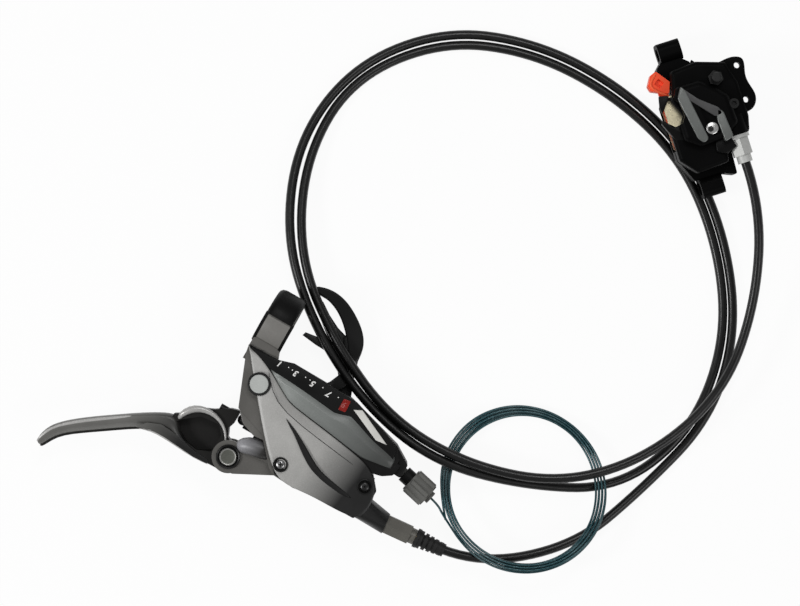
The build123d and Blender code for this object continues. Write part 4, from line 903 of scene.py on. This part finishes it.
class DISCBRAKE_OT_hose(bpy.types.Operator):
    """Lay the brake hose along its route"""
    bl_idname = "discbrake.hose"
    bl_label = "Brake hose"

    def execute(self, context):
        want = settings("hose")
        piece = smooth_curve("hose", HOSE_ROUTE, want.diameter / 2)
        piece.data.materials.append(sheath("hose_sheath", want.colour))
        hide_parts("brake_hose")
        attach(piece, "unit")
        return {"FINISHED"}


class DISCBRAKE_OT_cable(bpy.types.Operator):
    """Wind the bare shift cable into its loose coil"""
    bl_idname = "discbrake.cable"
    bl_label = "Shift cable coil"

    def execute(self, context):
        want = settings("cable")
        points = CABLE_START + coil_points(want.turns, want.coil_radius)
        piece = smooth_curve("shift_cable", points, want.diameter / 2)
        piece.data.materials.append(coated_cable("cable_coating", want.colour))
        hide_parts("shift_cable_lead", "shift_cable_coil")
        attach(piece, "unit")
        return {"FINISHED"}


# small steel parts that take the black steel finish here
BLACKENED = ("push_rod", "bleed_nipple", "pad_axle", "pad_spring")
# slot, kind of finish, colour, roughness, and what differs from the kind's own values
PLAIN_FINISHES = (
    ("lever_paint", painted, grey(0.06), 0.36, {}),
    ("black_steel", painted, grey(0.012), 0.4, {"metal": 0.2, "sheen": 0.25}),
    ("lever_black", painted, grey(0.008), 0.42, {"sheen": 0.25}),
    ("nut_grey", painted, (0.12, 0.115, 0.102), 0.42, {"metal": 0.3}),
    ("nut_silver", painted, (0.5, 0.505, 0.49), 0.5, {"metal": 0.25, "flake": 0.15, "sheen": 0.25}),
    ("dark_plastic", moulded, (0.09, 0.095, 0.09), 0.5, {}),
    ("seal_rubber", moulded, grey(0.007), 0.6, {"sheen": 0.2}),
    ("boot_rubber", moulded, grey(0.01), 0.55, {"sheen": 0.3}),
    ("housing_black", moulded, grey(0.005), 0.5, {"sheen": 0.2}),
    ("cover_gloss", moulded, (0.09, 0.095, 0.09), 0.25, {"depth": 0.01}),
    ("scale_black", moulded, grey(0.008), 0.4, {}),
    ("needle_red", moulded, (0.55, 0.02, 0.015), 0.35, {}),
    ("white_plastic", moulded, (0.7, 0.7, 0.67), 0.5, {}),
    ("knob_grey", moulded, (0.13, 0.13, 0.122), 0.42, {}),
    ("spacer_red", moulded, (1.0, 0.085, 0.028), 0.4, {"sheen": 0.2}),
    ("lining", moulded, (0.09, 0.075, 0.06), 0.85, {"grain_size": 700, "depth": 0.2}),
    ("piston_resin", moulded, grey(0.03), 0.5, {}),
    ("plate_gold", bare_metal, (0.85, 0.77, 0.54), 0.32, {}),
    ("brass", bare_metal, (0.6, 0.42, 0.16), 0.3, {}),
    ("steel", bare_metal, grey(0.32), 0.32, {}),
    ("aluminium", bare_metal, grey(0.6), 0.34, {}),
)


class DISCBRAKE_OT_finishes(bpy.types.Operator):
    """Give every solid of the set its finish"""
    bl_idname = "discbrake.finishes"
    bl_label = "Finishes"

    def execute(self, context):
        paint = settings("paint")
        # the casting's paint darkens to painted shade towards the unit's far end
        painted_shade = (46, 82, COVER_TURN, paint.shadow)
        finishes = {
            "body_paint": painted("body_paint", paint.body, 0.4, sheen=0.3, painted_shade=painted_shade),
            "cover_paint": painted("cover_paint", paint.cover, 0.38, flake=0.4),
            "caliper_paint": painted("caliper_paint", paint.caliper, 0.45, flake=0.06, sheen=0.03),
            "hose_sheath": sheath("sheath_solid", grey(0.012)),
            "cable_teal": coated_cable("cable_solid", (0.03, 0.1, 0.13)),
        }
        for slot, kind, colour, rough, more in PLAIN_FINISHES:
            finishes[slot] = kind(slot, colour, rough, **more)
        for part in frame["record"]["subparts"]:
            piece = frame["nodes"][part["node"]]
            slot = "black_steel" if part["node"] in BLACKENED else part["material_slot"]
            if not piece.material_slots:
                piece.data.materials.append(None)
            for place in piece.material_slots:
                place.material = finishes[slot]
        return {"FINISHED"}


def floor_finish(colour, whiteness):
    """White floor that still takes the set's soft shadow."""
    f = Finish("floor_white")
    path = f.tree.nodes.new("ShaderNodeLightPath")
    seen = sum((Tint(f, path.outputs[name]) for name in
                ("Is Camera Ray", "Is Glossy Ray", "Is Transmission Ray")), 0.0)
    f.done(Base_Color=(*colour[:3], 1.0), Roughness=0.9)
    glow = f.node("ShaderNodeEmission", {"Color": (1, 1, 1, 1), "Strength": 1.0})
    plain = Tint(f, f.shader.outputs[0])
    lit = f.node("ShaderNodeMixShader", {0: seen.clamped() * whiteness, 1: plain, 2: glow})
    f.tree.links.new(lit.socket, f.output.inputs[0])
    return f.material


VIEW_CENTRE, VIEW_TURN = mm(-49.8, -41.2, 0), math.radians(210)
# height at which the view is as wide as asked
VIEW_HEIGHT = -5 * MM
FLOOR_HALF, FLOOR_GAP, SENSOR, SIGHT_END = 3.0, 0.05 * MM, 36.0, 20.0
# name, place from the middle of the set, size, and share of the lamp power
LAMPS = (("key", (0.85, 0.75, 0.95), 0.42, 1.0), ("top", (0.25, -0.6, 1.2), 0.5, 0.45),
         ("side", (-0.9, 0.2, 0.8), 0.6, 0.3))


class DISCBRAKE_OT_studio(bpy.types.Operator):
    """Set up the floor, the soft lamps and the camera"""
    bl_idname = "discbrake.studio"
    bl_label = "Studio"

    def execute(self, context):
        want, scene = settings("studio"), context.scene
        mesh = bpy.data.meshes.new("floor")
        shape = bmesh.new()
        bmesh.ops.create_grid(shape, x_segments=1, y_segments=1, size=FLOOR_HALF)
        bmesh.ops.translate(shape, verts=shape.verts, vec=(0, 0, CAD_BOX[0].z - FLOOR_GAP))
        shape.to_mesh(mesh)
        shape.free()
        mesh.materials.append(floor_finish(want.floor, want.glow))
        placed("floor", mesh)

        scene.world = bpy.data.worlds.new("studio_air")
        scene.world.use_nodes = True
        air = scene.world.node_tree.nodes["Background"]
        air.inputs["Color"].default_value = (1, 1, 1, 1)
        air.inputs["Strength"].default_value = want.air

        for name, place, size, share in LAMPS:
            lamp = bpy.data.lights.new(name, "AREA")
            lamp.shape, lamp.size, lamp.energy = "DISK", size, want.lamp_power * share
            holder = placed(name, lamp)
            holder.location = VIEW_CENTRE + Vector(place)
            holder.rotation_euler = (-Vector(place)).to_track_quat("-Z", "Y").to_euler()

        sight = bpy.data.cameras.new("photographer")
        sight.sensor_width = SENSOR
        sight.lens = SENSOR * want.distance / want.view_width
        sight.clip_end = SIGHT_END
        camera = placed("photographer", sight)
        camera.location = VIEW_CENTRE + Vector((0, 0, want.distance + VIEW_HEIGHT))
        camera.rotation_euler = (0, 0, VIEW_TURN)
        scene.camera = camera
        scene.view_settings.view_transform = "Standard"
        return {"FINISHED"}


GROUPS = (("hose", DISCBRAKE_hose), ("cable", DISCBRAKE_cable), ("paint", DISCBRAKE_paint),
          ("studio", DISCBRAKE_studio))
OPERATORS = (DISCBRAKE_OT_finishes, DISCBRAKE_OT_hose, DISCBRAKE_OT_cable, DISCBRAKE_OT_cover,
             DISCBRAKE_OT_indicator, DISCBRAKE_OT_clamp, DISCBRAKE_OT_lever, DISCBRAKE_OT_paddles,
             DISCBRAKE_OT_caliper, DISCBRAKE_OT_spring, DISCBRAKE_OT_studio)


class DISCBRAKE_PT_panel(bpy.types.Panel):
    """The set's pieces and their sizes"""
    bl_idname = "DISCBRAKE_PT_panel"
    bl_label = "Hydraulic disc brake"
    bl_space_type = "VIEW_3D"
    bl_region_type = "UI"
    bl_category = "Disc Brake"

    def draw(self, context):
        for group, _ in GROUPS:
            box = self.layout.box()
            for name in settings(group).bl_rna.properties.keys():
                if name not in ("rna_type", "name"):
                    box.prop(settings(group), name)
        for operator in OPERATORS:
            self.layout.operator(operator.bl_idname)


def register():
    for name, group in GROUPS:
        bpy.utils.register_class(group)
        setattr(bpy.types.Scene, "discbrake_" + name, PointerProperty(type=group))
    for operator in OPERATORS:
        bpy.utils.register_class(operator)
    bpy.utils.register_class(DISCBRAKE_PT_panel)


def unregister():
    bpy.utils.unregister_class(DISCBRAKE_PT_panel)
    for operator in reversed(OPERATORS):
        bpy.utils.unregister_class(operator)
    for name, group in reversed(GROUPS):
        delattr(bpy.types.Scene, "discbrake_" + name)
        bpy.utils.unregister_class(group)


def main():
    register()
    bpy.ops.discbrake.finishes()
    bpy.ops.discbrake.hose()
    bpy.ops.discbrake.cable()
    bpy.ops.discbrake.cover()
    bpy.ops.discbrake.indicator()
    bpy.ops.discbrake.clamp()
    bpy.ops.discbrake.lever()
    bpy.ops.discbrake.paddles()
    bpy.ops.discbrake.caliper()
    bpy.ops.discbrake.spring()
    bpy.ops.discbrake.studio()
    bpy.context.view_layer.update()


if __name__ == "__main__":
    main()
